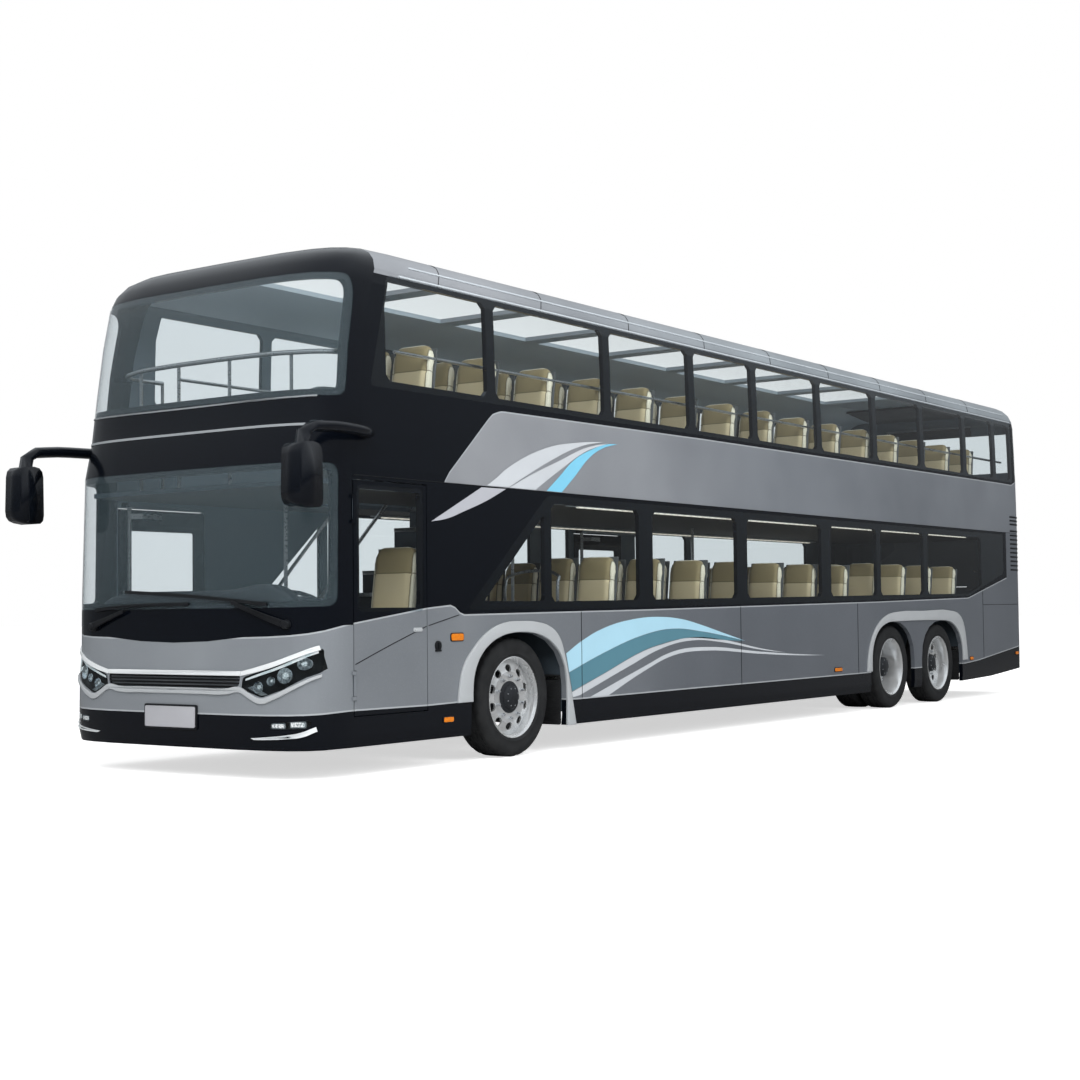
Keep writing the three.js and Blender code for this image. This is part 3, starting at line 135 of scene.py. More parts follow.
def lamp(name, place, aim, size, power):
    """A square soft lamp that faces the point `aim`."""
    light = bpy.data.lights.new(name, "AREA")
    light.size, light.energy = size, power
    made = bpy.data.objects.new(name, light)
    made.location = place
    made.visible_glossy = False       # the sky alone is mirrored in the paint and the glass
    made.rotation_euler = (Vector(aim) - Vector(place)).to_track_quat("-Z", "Y").to_euler()
    scene.collection.objects.link(made)


# Each lamp: its name, where it hangs, what it faces, its width in metres and its power in watts.
lamp("front_light", (15, 6, 9), (6, 0, 1.5), 8, 1500)
lamp("side_light", (2, 14, 9), (-1, 1, 1.5), 10, 1100)
lamp("back_light", (-14, -8, 9), (-5, 0, 2), 8, 900)


def surface(name, settings):
    """A new material with its tree, its main shader, and the place on the piece that patterns read."""
    material = bpy.data.materials.new(name)
    material.use_nodes = True
    tree = material.node_tree
    tree.nodes.clear()
    shader = add(tree, "BsdfPrincipled", settings)
    add(tree, "OutputMaterial", {}, {"Surface": shader})
    return material, tree, shader, add(tree, "TexCoord", {}).outputs["Object"]


floor_finish, tree, shader, place = surface("painted_studio_floor", {"Roughness": 0.8})
# a matt painted floor: a breath of its own light keeps it white and leaves the shadow on it
mottle = add(tree, "TexNoise", {"Scale": 0.8, "Detail": 2.0}, {"Vector": place})
tone = add(tree, "MapRange", {"To Min": 0.97, "To Max": 1.0}, {"Value": mottle})
glow = add(tree, "Emission", {"Strength": FLOOR_GLOW}, {"Color": tone})
both = add(tree, "AddShader", {}, {0: shader, 1: glow})
rays = add(tree, "LightPath", {})
eye_only = add(tree, "MixShader", {}, {0: rays.outputs["Is Camera Ray"], 1: shader, 2: both})
wire(tree.nodes["Material Output"], {"Surface": eye_only})
mirrored_floor = add(tree, "MapRange", {"To Min": 0.89, "To Max": 0.17},
                     {"Value": rays.outputs["Is Glossy Ray"]})
wire(shader, {"Base Color": mirrored_floor})
form = bmesh.new()
bmesh.ops.create_circle(form, cap_ends=True, segments=96, radius=FLOOR_RADIUS)
sheet = bpy.data.meshes.new("floor")
form.to_mesh(sheet)
form.free()
sheet.materials.append(floor_finish)
floor = bpy.data.objects.new("floor", sheet)
scene.collection.objects.link(floor)

# ------------------------------------------------------------------ coachwork
# Aluminium sheet and moulded panels bonded to a steel frame, sprayed silver below and gloss
# black round the glass. The curved panels are smooth copies of their solids.
CLEAR_COAT = {"Coat Weight": 0.2, "Coat Roughness": 0.04, "Specular IOR Level": 0.2}
CURVE_REACH, CURVE_TOP = 7.3, 4.0       # a height curve's ends ahead and behind, and its full height


def heights(tree, along, stations):
    """A height that changes along the bus, from (station, height) corners."""
    spot = add(tree, "MapRange", {"From Min": -CURVE_REACH, "From Max": CURVE_REACH}, {"Value": along})
    curve = add(tree, "FloatCurve", {}, {"Value": spot})
    bends = curve.mapping.curves[0].points
    while len(bends) < len(stations):
        bends.new(0.5, 0.5)
    for bend, (station, height) in zip(bends, sorted(stations)):
        bend.location = ((station + FRONT_JOINT + CURVE_REACH) / (2 * CURVE_REACH), height / CURVE_TOP)
        bend.handle_type = "VECTOR"
    curve.mapping.update()
    return add(tree, "Math", {"operation": "MULTIPLY", 1: CURVE_TOP}, {0: curve})


# Black skirt's upper edge, the lower glass band's lower edge, and the silver waist's upper edge.
SKIRT_EDGE = [(0.6, 0.452), (-0.03, 0.473), (-0.85, 0.467), (-1.36, 0.474), (-2.8, 0.419), (-4.9, 0.425),
              (-8.56, 0.43), (-11.53, 0.445), (-11.99, 0.473), (-13.49, 0.619), (-13.7, 0.63)]
BAND_EDGE = [(0.6, 0.98), (0.0, 1.09), (-0.85, 1.197), (-1.17, 1.22), (-1.25, 1.144), (-2.9, 1.159),
             (-3.88, 1.167), (-6.1, 1.194), (-8.9, 1.228), (-11.65, 1.273), (-13.03, 1.541), (-13.7, 1.541)]
WAIST_EDGE = [(0.6, 2.0), (-1.0, 2.0), (-1.075, 2.18), (-1.682, 2.722), (-1.8, 2.757), (-5.0, 2.782),
              (-12.97, 2.8), (-13.31, 2.797), (-13.7, 2.925)]
BAND_REAR = -13.04
DECK_LINE = 2.145         # the seam between the lower and the upper side wall
EAVE = 3.637              # black glass surround below it, silver cant rail above
CEILING = 3.6             # what looks down from above this height is lining
EDGE_HIGHLIGHT_WIDTH = 0.011           # width of the pale line painted along the edge between the two paints, a painted highlight


def coachwork(name, silver, waist_silver, lining):
    """Two-tone enamel: `silver` sides, `waist_silver` between the decks, `lining` inside."""
    material, tree, shader, place = surface(name, {"Metallic": 0.35, "Roughness": 0.34, **CLEAR_COAT})
    axes = add(tree, "SeparateXYZ", {}, {0: place}).outputs
    x, z = axes["X"], axes["Z"]
    skirt, band, waist = [heights(tree, x, edge) for edge in (SKIRT_EDGE, BAND_EDGE, WAIST_EDGE)]
    upper_wall = add(tree, "Math", {"operation": "GREATER_THAN", 1: DECK_LINE}, {0: z})
    # where it is black: below the skirt's edge, and round the glass of each deck
    in_skirt = add(tree, "Math", {"operation": "GREATER_THAN"}, {0: skirt, 1: z})
    over_band = add(tree, "Math", {"operation": "GREATER_THAN"}, {0: z, 1: band})
    ahead_of_tail = add(tree, "Math", {"operation": "GREATER_THAN", 1: BAND_REAR + FRONT_JOINT}, {0: x})
    lower_black = add(tree, "Math", {"operation": "MULTIPLY"}, {0: over_band, 1: ahead_of_tail})
    over_waist = add(tree, "Math", {"operation": "GREATER_THAN"}, {0: z, 1: waist})
    over_eave = add(tree, "Math", {"operation": "GREATER_THAN", 1: EAVE}, {0: z})
    upper_black = add(tree, "Math", {"operation": "SUBTRACT"}, {0: over_waist, 1: over_eave})
    glass_black = add(tree, "Mix", {"data_type": "FLOAT"},
                      {"Factor": upper_wall, 2: lower_black, 3: upper_black})
    black = add(tree, "Math", {"operation": "MAXIMUM"}, {0: glass_black, 1: in_skirt})
    # a painted highlight: a pale line along each of the three edges
    lines = []
    for edge in (skirt, band, waist):
        gap = add(tree, "Math", {"operation": "SUBTRACT"}, {0: z, 1: edge})
        away = add(tree, "Math", {"operation": "ABSOLUTE"}, {0: gap})
        lines.append(add(tree, "Math", {"operation": "LESS_THAN", 1: EDGE_HIGHLIGHT_WIDTH}, {0: away}))
    band_highlight = add(tree, "Math", {"operation": "MULTIPLY"}, {0: lines[1], 1: ahead_of_tail})
    lower_highlights = add(tree, "Math", {"operation": "MAXIMUM"}, {0: band_highlight, 1: lines[0]})
    # the painted highlight lines, those below the deck line or the one above it
    outline = add(tree, "Mix", {"data_type": "FLOAT"}, {"Factor": upper_wall, 2: lower_highlights, 3: lines[2]})
    # painted highlight pales the sheets towards the front; painted cloud reflections dim them in soft
    # patches; fine metal flakes lie in them
    # painted highlight: the waist's silver grows paler towards the front
    front_sheen = add(tree, "MapRange", {"From Min": FRONT_JOINT - 6.5, "From Max": FRONT_JOINT - 1.6},
                 {"Value": x})
    waist_colour = add(tree, "Mix", {"data_type": "RGBA", 6: srgb(waist_silver), 7: srgb("#a6a9ae")},
                       {"Factor": front_sheen})
    # painted highlight: the lower silver grows paler towards the front
    lower_front_sheen = add(tree, "MapRange", {"From Min": FRONT_JOINT - 4.6, "From Max": FRONT_JOINT - 1.2,
                                    "To Max": 0.75}, {"Value": x})
    lower_colour = add(tree, "Mix", {"data_type": "RGBA", 6: srgb(silver), 7: srgb("#979ca1")},
                       {"Factor": lower_front_sheen})
    # painted reflection: soft darker patches stand in for reflected clouds
    reflected_clouds = add(tree, "TexNoise", {"Scale": 0.55, "Detail": 3.0, "Roughness": 0.55}, {"Vector": place})
    cloud_reflection_share = add(tree, "MapRange", {"From Min": 0.3, "From Max": 0.7, "To Min": 0.0, "To Max": 0.45},
                 {"Value": reflected_clouds})
    flakes = add(tree, "TexNoise", {"Scale": 260.0, "Detail": 1.0}, {"Vector": place})
    sparkle = add(tree, "MapRange", {"From Min": 0.62, "From Max": 0.8, "To Min": 0.0, "To Max": 0.25},
                  {"Value": flakes})
    # faces that look to the middle of the bus, or down from the roof, are lined
    facing = add(tree, "SeparateXYZ", {}, {0: place.node.outputs["Normal"]}).outputs
    turned_in = add(tree, "Math", {"operation": "MULTIPLY"}, {0: facing["Y"], 1: axes["Y"]})
    inner_side = add(tree, "Math", {"operation": "LESS_THAN", 1: -0.05}, {0: turned_in})
    overhead = add(tree, "Math", {"operation": "GREATER_THAN", 1: CEILING}, {0: z})
    looks_down = add(tree, "Math", {"operation": "LESS_THAN", 1: -0.3}, {0: facing["Z"]})
    ceiling = add(tree, "Math", {"operation": "MULTIPLY"}, {0: overhead, 1: looks_down})
    inward = add(tree, "Math", {"operation": "MAXIMUM"}, {0: inner_side, 1: ceiling})
    # the colour's layers: the two silvers, then painted cloud reflection, flakes, painted highlight lines,
    # black and lining
    colour = add(tree, "Mix", {"data_type": "RGBA"},
                 {"Factor": upper_wall, 6: lower_colour, 7: waist_colour})
    for share, code in ((cloud_reflection_share, "#565b62"), (sparkle, "#c9ced3"), (outline, "#b9bec2"), (black, "#070a10"),
                        (inward, lining)):
        colour = add(tree, "Mix", {"data_type": "RGBA", 7: srgb(code)}, {"Factor": share, 6: colour})
    plain = add(tree, "Math", {"operation": "MAXIMUM"}, {0: black, 1: inward})
    metal = add(tree, "MapRange", {"To Min": 0.4, "To Max": 0.0}, {"Value": plain})
    gloss = add(tree, "MapRange", {"To Min": 0.32, "To Max": 0.12}, {"Value": black})
    peel = add(tree, "TexNoise", {"Scale": 90.0, "Detail": 1.0}, {"Vector": place})
    bump = add(tree, "Bump", {"Strength": 0.04, "Distance": 0.002}, {"Height": peel})
    wire(shader, {"Base Color": colour, "Metallic": metal, "Roughness": gloss, "Normal": bump})
    return material


def dress(material, *names):
    """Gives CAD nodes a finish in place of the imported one."""
    for name in names:
        mesh = nodes[name].data
        mesh.materials.clear()
        mesh.materials.append(material)


# metallic base under a clear coat: silver with a soft, broad gleam, and a deeper mirror in the black
side_enamel = coachwork("silver_and_black_enamel", "#70757c", "#878c93", "#59636b")
dress(side_enamel, "side_wall_lower_left", "side_wall_lower_right", "side_wall_upper_left",
      "side_wall_upper_right", "engine_lid", "driver_door")


def piece(name, form, material, body="body", sharp=32):
    """Finishes one piece from its bmesh: normals outwards, edges kept above `sharp` degrees."""
    form.normal_update()      # a mirrored form still has its old normals, which would mislead the next line
    bmesh.ops.recalc_face_normals(form, faces=form.faces)
    mesh = bpy.data.meshes.new(name)
    form.to_mesh(mesh)
    form.free()
    mesh.shade_smooth()
    mesh.set_sharp_from_angle(angle=math.radians(sharp))
    mesh.materials.append(material)
    made = bpy.data.objects.new(name, mesh)
    scene.collection.objects.link(made)
    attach(made, body)
    return made


# The skin's sections. Columns: height, how far the sides and the nose lie inside the largest plan.
SECTIONS = [(0.215, 0.012, 0.014), (0.3, 0, 0), (0.7, 0, 0.004), (0.9, 0, 0.022), (1.28, 0, 0.024),
            (2.21, 0, 0.054), (2.49, 0.003, 0.116), (2.84, 0.008, 0.159), (3.25, 0.017, 0.216),
            (3.56, 0.029, 0.276), (3.67, 0.044, 0.329), (3.75, 0.078, 0.404), (3.81, 0.133, 0.509),
            (3.85, 0.21, 0.654), (3.878, 0.325, 0.854), (3.894, 0.5, 1.154), (3.9, 0.76, 1.564)]
HALF_WIDTH, NOSE, CAP_REACH, CAP_POWER = 1.275, FRONT_JOINT + 0.514, 0.52, 4.2


def section(z):
    """Side inset, nose inset and how fast each grows with height, smoothed over the sections."""
    z = min(max(z, SECTIONS[0][0]), SECTIONS[-1][0])
    i = max(k for k in range(len(SECTIONS) - 1) if SECTIONS[k][0] <= z)
    slopes = [[(b[c] - a[c]) / (b[0] - a[0]) for c in (1, 2)] for a, b in zip(SECTIONS, SECTIONS[1:])]
    low, high = SECTIONS[i], SECTIONS[i + 1]
    t = (z - low[0]) / (high[0] - low[0])
    here = slopes[i]
    other = slopes[min(i + 1, len(slopes) - 1)] if t > 0.5 else slopes[max(i - 1, 0)]
    share = abs(t - 0.5)
    slope = [a * (1 - share) + b * share for a, b in zip(here, other)]
    return [low[c] + t * (high[c] - low[c]) for c in (1, 2)] + slope


def skin_normal(x, y, z):
    """The body skin's outward direction at a point on or near it."""
    side, nose, side_slope, nose_slope = section(z)
    half = HALF_WIDTH - side
    forward = max(0.0, x - (NOSE - nose - CAP_REACH)) / CAP_REACH
    outward = min(abs(y) / half, 1.0)
    reach, breadth = forward ** (CAP_POWER - 1) / CAP_REACH, outward ** (CAP_POWER - 1) / half
    upward = reach * nose_slope + breadth * outward * side_slope
    return Vector((reach, math.copysign(breadth, y), upward)).normalized()


ALONG_SKIN = 0.86         # cosine above which a face is taken to lie along the skin
WELD = 2e-5               # a solid's loose triangles share the corners that are closer than this


def smooth_copy(node, material, sharp=32, on_skin=True):
    """A merged copy of a CAD node whose curved faces shade as the skin they are part of."""
    form = bmesh.new()
    form.from_mesh(nodes[node].data)
    bmesh.ops.remove_doubles(form, verts=form.verts, dist=WELD)
    made = piece(node + "_panel", form, material, nodes[node]["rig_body"], sharp)
    if on_skin:
        mesh = made.data
        leaned = []
        for face in mesh.polygons:
            for corner in face.vertices:
                ideal = skin_normal(*mesh.vertices[corner].co)
                lean = ideal.dot(face.normal)
                leaned.append(ideal if lean > ALONG_SKIN else -ideal if lean < -ALONG_SKIN
                              else face.normal.copy())
        mesh.normals_split_custom_set(leaned)
    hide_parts(node)
    return made


gloss_black, tree, shader, place = surface("gloss_black_enamel",
                                           {"Base Color": srgb("#070a10"), "Roughness": 0.12, **CLEAR_COAT})
# sprayed and polished black over moulded panels: deep, with a faint orange peel
peel = add(tree, "TexNoise", {"Scale": 90.0, "Detail": 1.0}, {"Vector": place})
bump = add(tree, "Bump", {"Strength": 0.04, "Distance": 0.002}, {"Height": peel})
haze = add(tree, "MapRange", {"To Min": 0.1, "To Max": 0.16}, {"Value": peel})
wire(shader, {"Normal": bump, "Roughness": haze})

# the front panel's silver is painted paler than the sides', a painted highlight where the light falls on the
# front, and lined in dark grey; the roof's is lined in pale grey
front_enamel = coachwork("front_silver_enamel", "#959ba1", "#878c93", "#2b2d30")
smooth_copy("front_panel", front_enamel)
smooth_copy("windscreen_surround", gloss_black)
smooth_copy("upper_screen_surround", gloss_black)
smooth_copy("rear_wall", side_enamel, on_skin=False)
roof_enamel = coachwork("roof_enamel", "#8b9096", "#a2abb1", "#a5b0b8")
smooth_copy("roof", roof_enamel)

# ------------------------------------------------------------------ glass
# Laminated screens and toughened panes, 6 mm thick, tinted in the melt and bonded flush. Each
# face keeps its reflections; what lies behind shows through with the tint of two faces.


def tinted_glass(name, tint, ior=1.45, haze=0.0):
    """Body-tinted float glass: see-through, with mirror reflections that grow at a slant."""
    material, tree, shader, place = surface(name, {})
    waves = add(tree, "TexNoise", {"Scale": 1.6, "Detail": 1.0}, {"Vector": place})
    bump = add(tree, "Bump", {"Strength": 0.02, "Distance": 0.01}, {"Height": waves})
    through = add(tree, "BsdfTransparent", {"Color": srgb(tint)})
    mirror = add(tree, "BsdfGlossy", {"Color": [1, 1, 1, 1], "Roughness": 0.02}, {"Normal": bump})
    slant = add(tree, "Fresnel", {"IOR": ior}, {"Normal": bump})
    leaving = add(tree, "NewGeometry", {}).outputs["Backfacing"]
    entering = add(tree, "Math", {"operation": "SUBTRACT", 0: 1.0}, {1: leaving})
    share = add(tree, "Math", {"operation": "MULTIPLY"}, {0: slant, 1: entering})
    # painted reflection: a share `haze` of the entering face shows a lamp-lit pale blue-grey sheet instead of
    # what lies behind
    painted_reflection_veil = add(tree, "Math", {"operation": "MULTIPLY", 0: haze}, {1: entering})
    film = add(tree, "BsdfDiffuse", {"Color": srgb("#71848c")})
    behind = add(tree, "MixShader", {}, {0: painted_reflection_veil, 1: through, 2: film})
    mixed = add(tree, "MixShader", {}, {0: share, 1: behind, 2: mirror})
    wire(tree.nodes["Material Output"], {"Surface": mixed})
    tree.nodes.remove(shader)
    return material


# toughened float: clear at right angles and a mirror at a slant, with hardly any tint
side_glass = tinted_glass("tinted_side_glass", "#f4f7f8")
# a faint blue-grey painted reflection, a lamp-lit pale sheet, lies over a screen
screen_glass = tinted_glass("laminated_screen_glass", "#f9fbfc", haze=0.15)
# an anti-glare coat takes nearly all of the mirror off the skylights
skylight_glass = tinted_glass("coated_skylight_glass", "#fcfdfd", 1.04)
dress(side_glass, "glass_upper_left", "glass_upper_right", "glass_lower_left", "glass_lower_right_front",
      "glass_lower_right_rear", "driver_door_glass", "entrance_door_glass", "middle_door_glass")
for pane in ("windscreen", "upper_windscreen"):
    smooth_copy(pane, screen_glass)
smooth_copy("rear_window", side_glass, on_skin=False)
smooth_copy("roof_glass", skylight_glass)

# ------------------------------------------------------------------ painted swooshes
# Waves of sky-blue, teal, white and grey on each side, cut from cast vinyl film and pressed on
# behind the front wheel and over the front of the waist. They are drawn 0.8 mm thick, more than
# the real film, so that their edges show.


def sawn(outline, thickness, corners, bevel=0.0, detail=5):
    """A flat piece cut to a smooth outline, lying on the XY plane; numbered `corners` stay sharp."""
    curve = bpy.data.curves.new("outline", "CURVE")
    curve.dimensions, curve.fill_mode = "2D", "BOTH"
    curve.resolution_u = detail
    curve.extrude, curve.bevel_depth = thickness / 2 - bevel, bevel
    curve.bevel_resolution = 2
    spline = curve.splines.new("BEZIER")
    spline.bezier_points.add(len(outline) - 1)
    spline.use_cyclic_u = True
    for number, (knot, spot) in enumerate(zip(spline.bezier_points, outline)):
        kind = "VECTOR" if number in corners else "AUTO"
        knot.handle_left_type = knot.handle_right_type = kind
        knot.co = (*spot, 0)
    drawn = bpy.data.objects.new("outline", curve)
    mesh = bpy.data.meshes.new_from_object(drawn)
    form = bmesh.new()
    form.from_mesh(mesh)
    bmesh.ops.remove_doubles(form, verts=form.verts, dist=1e-5)
    bpy.data.objects.remove(drawn)
    bpy.data.curves.remove(curve)
    bpy.data.meshes.remove(mesh)
    return form


def onto_side(form, side, out):
    """Stands a flat piece up on a side wall, its middle `out` metres from the centre plane."""
    form.transform(Matrix(((1, 0, 0, FRONT_JOINT), (0, 0, side, side * out), (0, 1, 0, 0), (0, 0, 0, 1))))
    return form


def enamel(name, code, roughness=0.3):
    """Plain coloured gloss film or paint, with a faint unevenness of its colour and gloss."""
    material, tree, shader, place = surface(name, {"Roughness": roughness, "Specular IOR Level": 0.3})
    cloud = add(tree, "TexNoise", {"Scale": 3.0, "Detail": 3.0}, {"Vector": place})
    darker = [0.86 * c for c in srgb(code)[:3]] + [1.0]
    tone = add(tree, "Mix", {"data_type": "RGBA", 6: srgb(code), 7: darker}, {"Factor": cloud})
    gloss = add(tree, "MapRange", {"To Min": roughness * 0.8, "To Max": roughness * 1.2}, {"Value": cloud})
    wire(shader, {"Base Color": tone, "Roughness": gloss})
    return material


# cast vinyl films: even colours with the soft gloss of the sheet
sky_film = enamel("sky_blue_film", "#a4cddf")
teal_film = enamel("teal_film", "#537f8e")
white_film = enamel("pale_grey_film", "#bcc1c6")
grey_film = enamel("lavender_grey_film", "#a9abb2")
blue_film = enamel("bright_blue_film", "#78bfdb")
# Columns: name, film, outline of (station, height), corners that stay sharp.
SWOOSHES = [
    ("swoosh_sky", sky_film,
     [(-2.668, 0.808), (-2.881, 0.900), (-3.243, 1.011), (-3.717, 1.082), (-4.131, 1.099), (-4.562, 1.073),
      (-4.921, 1.014), (-5.35, 0.93), (-5.76, 0.85), (-5.3, 0.912), (-4.919, 0.955), (-4.385, 0.989),
      (-3.877, 0.940), (-3.239, 0.800), (-2.708, 0.651)], (0, 8, 14)),
    ("swoosh_teal", teal_film,
     [(-2.710, 0.648), (-3.239, 0.798), (-3.877, 0.937), (-4.385, 0.986), (-4.919, 0.952), (-5.3, 0.909),
      (-5.74, 0.848), (-5.3, 0.868), (-4.8, 0.896), (-4.557, 0.895), (-4.2, 0.856), (-3.873, 0.801),
      (-3.235, 0.624), (-2.75, 0.492)], (0, 6, 13)),
    ("swoosh_white_long", white_film,
     [(-2.745, 0.482), (-3.235, 0.618), (-3.873, 0.794), (-4.23, 0.853), (-4.736, 0.903), (-5.291, 0.872),
      (-6.081, 0.768), (-6.64, 0.71), (-6.081, 0.754), (-5.291, 0.846), (-4.736, 0.874), (-4.208, 0.817),
      (-3.62, 0.665), (-2.86, 0.452), (-2.76, 0.44)], (0, 7, 13, 14)),
    ("swoosh_white_low", white_film,
     [(-3.02, 0.43), (-3.869, 0.654), (-4.379, 0.778), (-4.915, 0.808), (-6.080, 0.735), (-6.937, 0.686),
      (-7.54, 0.66), (-6.937, 0.674), (-6.080, 0.713), (-4.915, 0.774), (-4.379, 0.742), (-3.869, 0.614),
      (-3.3, 0.43)], (0, 6, 12)),
    ("swoosh_waist_blue", blue_film,
     [(-2.41, 2.152), (-2.63, 2.152), (-2.83, 2.30), (-3.047, 2.468), (-3.26, 2.565), (-3.489, 2.616),
      (-3.324, 2.604), (-3.05, 2.53), (-2.823, 2.437), (-2.574, 2.265)], (0, 1, 5)),
    ("swoosh_waist_grey", white_film,
     [(-1.862, 2.3), (-2.396, 2.502), (-2.900, 2.588), (-3.278, 2.621), (-2.899, 2.552), (-2.464, 2.402),
      (-2.15, 2.27), (-1.889, 2.155), (-1.60, 2.152), (-1.72, 2.215)], (3, 7, 8)),
    ("swoosh_waist_white", white_film,
     [(-1.90, 2.152), (-2.251, 2.152), (-2.619, 2.342), (-2.972, 2.510), (-3.355, 2.617), (-2.99, 2.548),
      (-2.62, 2.42), (-2.2, 2.272)], (0, 1, 4)),
    ("swoosh_deck_grey", grey_film,
     [(-0.905, 1.844), (-1.22, 1.99), (-1.530, 2.134), (-1.850, 2.138), (-1.591, 2.031), (-1.3, 1.935),
      (-1.099, 1.874)], (0, 2, 3)),
]
FILM_FACE, FILM_THICK = 1.2756, 0.0008
MIDDLE_DOOR_FRONT, ENTRANCE_REAR = -6.462 + FRONT_JOINT, -0.972 + FRONT_JOINT
for name, film, outline, corners in SWOOSHES:
    for word, side in (("left", 1), ("right", -1)):
        form = onto_side(sawn(outline, FILM_THICK, corners), side, FILM_FACE)
        if side < 0:
            # the doors on this side stay clear of the films
            for cut, way in ((MIDDLE_DOOR_FRONT, -1), (ENTRANCE_REAR, 1)):
                everything = form.verts[:] + form.edges[:] + form.faces[:]
                bmesh.ops.bisect_plane(form, geom=everything, plane_co=(cut, 0, 0), plane_no=(way, 0, 0),
                                       clear_outer=True)
        piece(f"{name}_{word}", form, film)

# ------------------------------------------------------------------ wheel-arch flares
# Moulded polyurethane lips, sprayed light silver and screwed round the arches: one behind each
# front door that runs down to the skirt, and one shared by the two rear axles.
flare_silver = enamel("light_silver_enamel", "#a6aaad", 0.32)   # paler than the sheets round it
# Each arch: its middle station and half its length.
ARCH_FRONT, ARCH_DRIVE, ARCH_TAG = (-2.02, 0.64), (-9.3, 0.61), (-10.775, 0.64)
# All arches: top, height where they start to round, how square the curve is, gap to the lip.
ARCH_TOP, ARCH_SPRING, ARCH_ROUND, ARCH_CLEAR = 1.0, 0.54, 0.88, 0.004


def arch_line(arch, start, stop, steps):
    """Points just outside an arch's edge, from angle `start` to `stop` in degrees; 0 is ahead."""
    middle, half = arch
    points = []
    for i in range(steps + 1):
        turn = math.radians(start + (stop - start) * i / steps)
        c, s = math.cos(turn), max(0.0, math.sin(turn))
        points.append((middle + (half + ARCH_CLEAR) * math.copysign(abs(c) ** ARCH_ROUND, c),
                       ARCH_SPRING + (ARCH_TOP + ARCH_CLEAR - ARCH_SPRING) * s ** ARCH_ROUND))
    return points


FLARE_OUT = 1.284         # middle of the lip's thickness from the centre plane
FLARE_THICK, FLARE_ROUND = 0.024, 0.007
# Heights of the lips' lower ends, ahead of the arch and behind it.
FRONT_ENDS, REAR_ENDS = (0.478, 0.218), (0.451, 0.5)
front_outer = [(-2.776, FRONT_ENDS[1]), (-2.699, 0.529), (-2.612, 0.817), (-2.550, 0.94), (-2.439, 1.022),
               (-2.232, 1.069), (-2.03, 1.078), (-1.794, 1.067), (-1.576, 0.997), (-1.388, 0.864),
               (-1.276, 0.74), (-1.226, 0.593), (-1.207, FRONT_ENDS[0])]
front_inner = [(ARCH_FRONT[0] + ARCH_FRONT[1] + ARCH_CLEAR, FRONT_ENDS[0]),
               *arch_line(ARCH_FRONT, 0, 180, 14),
               (ARCH_FRONT[0] - ARCH_FRONT[1] - ARCH_CLEAR, FRONT_ENDS[1])]
rear_outer = [(-11.551, REAR_ENDS[1]), (-11.499, 0.767), (-11.42, 0.96), (-11.30, 1.055), (-11.1, 1.1),
              (-10.174, 1.108), (-9.398, 1.1), (-9.1, 1.06), (-8.86, 0.952), (-8.70, 0.80), (-8.61, 0.62),
              (-8.577, REAR_ENDS[0])]
rear_inner = [(ARCH_DRIVE[0] + ARCH_DRIVE[1] + ARCH_CLEAR, REAR_ENDS[0]), *arch_line(ARCH_DRIVE, 0, 90, 8),
              *arch_line(ARCH_TAG, 90, 180, 8), (ARCH_TAG[0] - ARCH_TAG[1] - ARCH_CLEAR, REAR_ENDS[1])]
for name, outer, inner in (("flare_front", front_outer, front_inner), ("flare_rear", rear_outer, rear_inner)):
    ends = (0, len(outer) - 1, len(outer), len(outer) + len(inner) - 1)
    for word, side in (("left", 1), ("right", -1)):
        form = onto_side(sawn(outer + inner, FLARE_THICK, ends, FLARE_ROUND, 3), side, FLARE_OUT)
        piece(f"{name}_{word}", form, flare_silver, sharp=50)

# ------------------------------------------------------------------ seams and edge lines
# Shadow gaps between the body's sheets, drawn as dark sealant beads, and dark lines of painted shade in the
# creases pressed into the silver sheets beside the driver's door.
sealant_and_crease_shade = enamel("black_sealant_and_crease_shade", "#101214", 0.5)               # cured in the joints: dull black; the same dark line in a crease is painted shade


def tube(points, radius, smooth=True, sides=3):
    """A round bar along points; `smooth` rounds its bends, and its ends are closed."""
    curve = bpy.data.curves.new("bar", "CURVE")
    curve.dimensions, curve.use_fill_caps = "3D", True
    curve.bevel_depth, curve.bevel_resolution, curve.resolution_u = radius, sides, 6
    spline = curve.splines.new("BEZIER")
    spline.bezier_points.add(len(points) - 1)
    for knot, spot in zip(spline.bezier_points, points):
        knot.handle_left_type = knot.handle_right_type = "AUTO" if smooth else "VECTOR"
        knot.co = spot
    drawn = bpy.data.objects.new("bar", curve)
    mesh = bpy.data.meshes.new_from_object(drawn)
    form = bmesh.new()
    form.from_mesh(mesh)
    bmesh.ops.remove_doubles(form, verts=form.verts, dist=1e-5)
    bpy.data.objects.remove(drawn)
    bpy.data.curves.remove(curve)
    bpy.data.meshes.remove(mesh)
    return form


def gather(forms):
    """Joins several bmeshes into one."""
    whole = bmesh.new()
    for form in forms:
        mesh = bpy.data.meshes.new("part")
        form.to_mesh(mesh)
        form.free()
        whole.from_mesh(mesh)
        bpy.data.meshes.remove(mesh)
    return whole


SIDE_FACE, WALL_FACE = 1.2752, 1.2748       # middle of a bead from the centre plane, low down and higher up
SEAM, FINE_SEAM = 0.0035, 0.003             # radius of a sealant bead


def along_side(points, side, out=SIDE_FACE):
    """A line of (station, height) laid on a side wall."""
    return [(station + FRONT_JOINT, side * out, height) for station, height in points]


SIDE_SEAMS = [[(-2.898, 0.43), (-2.898, 1.155)], [(-8.36, 0.44), (-8.36, 1.21)],
              [(-12.15, 0.5), (-12.15, 1.185), (-13.42, 1.185)], [(-12.15, 1.185), (-12.15, 1.36)]]
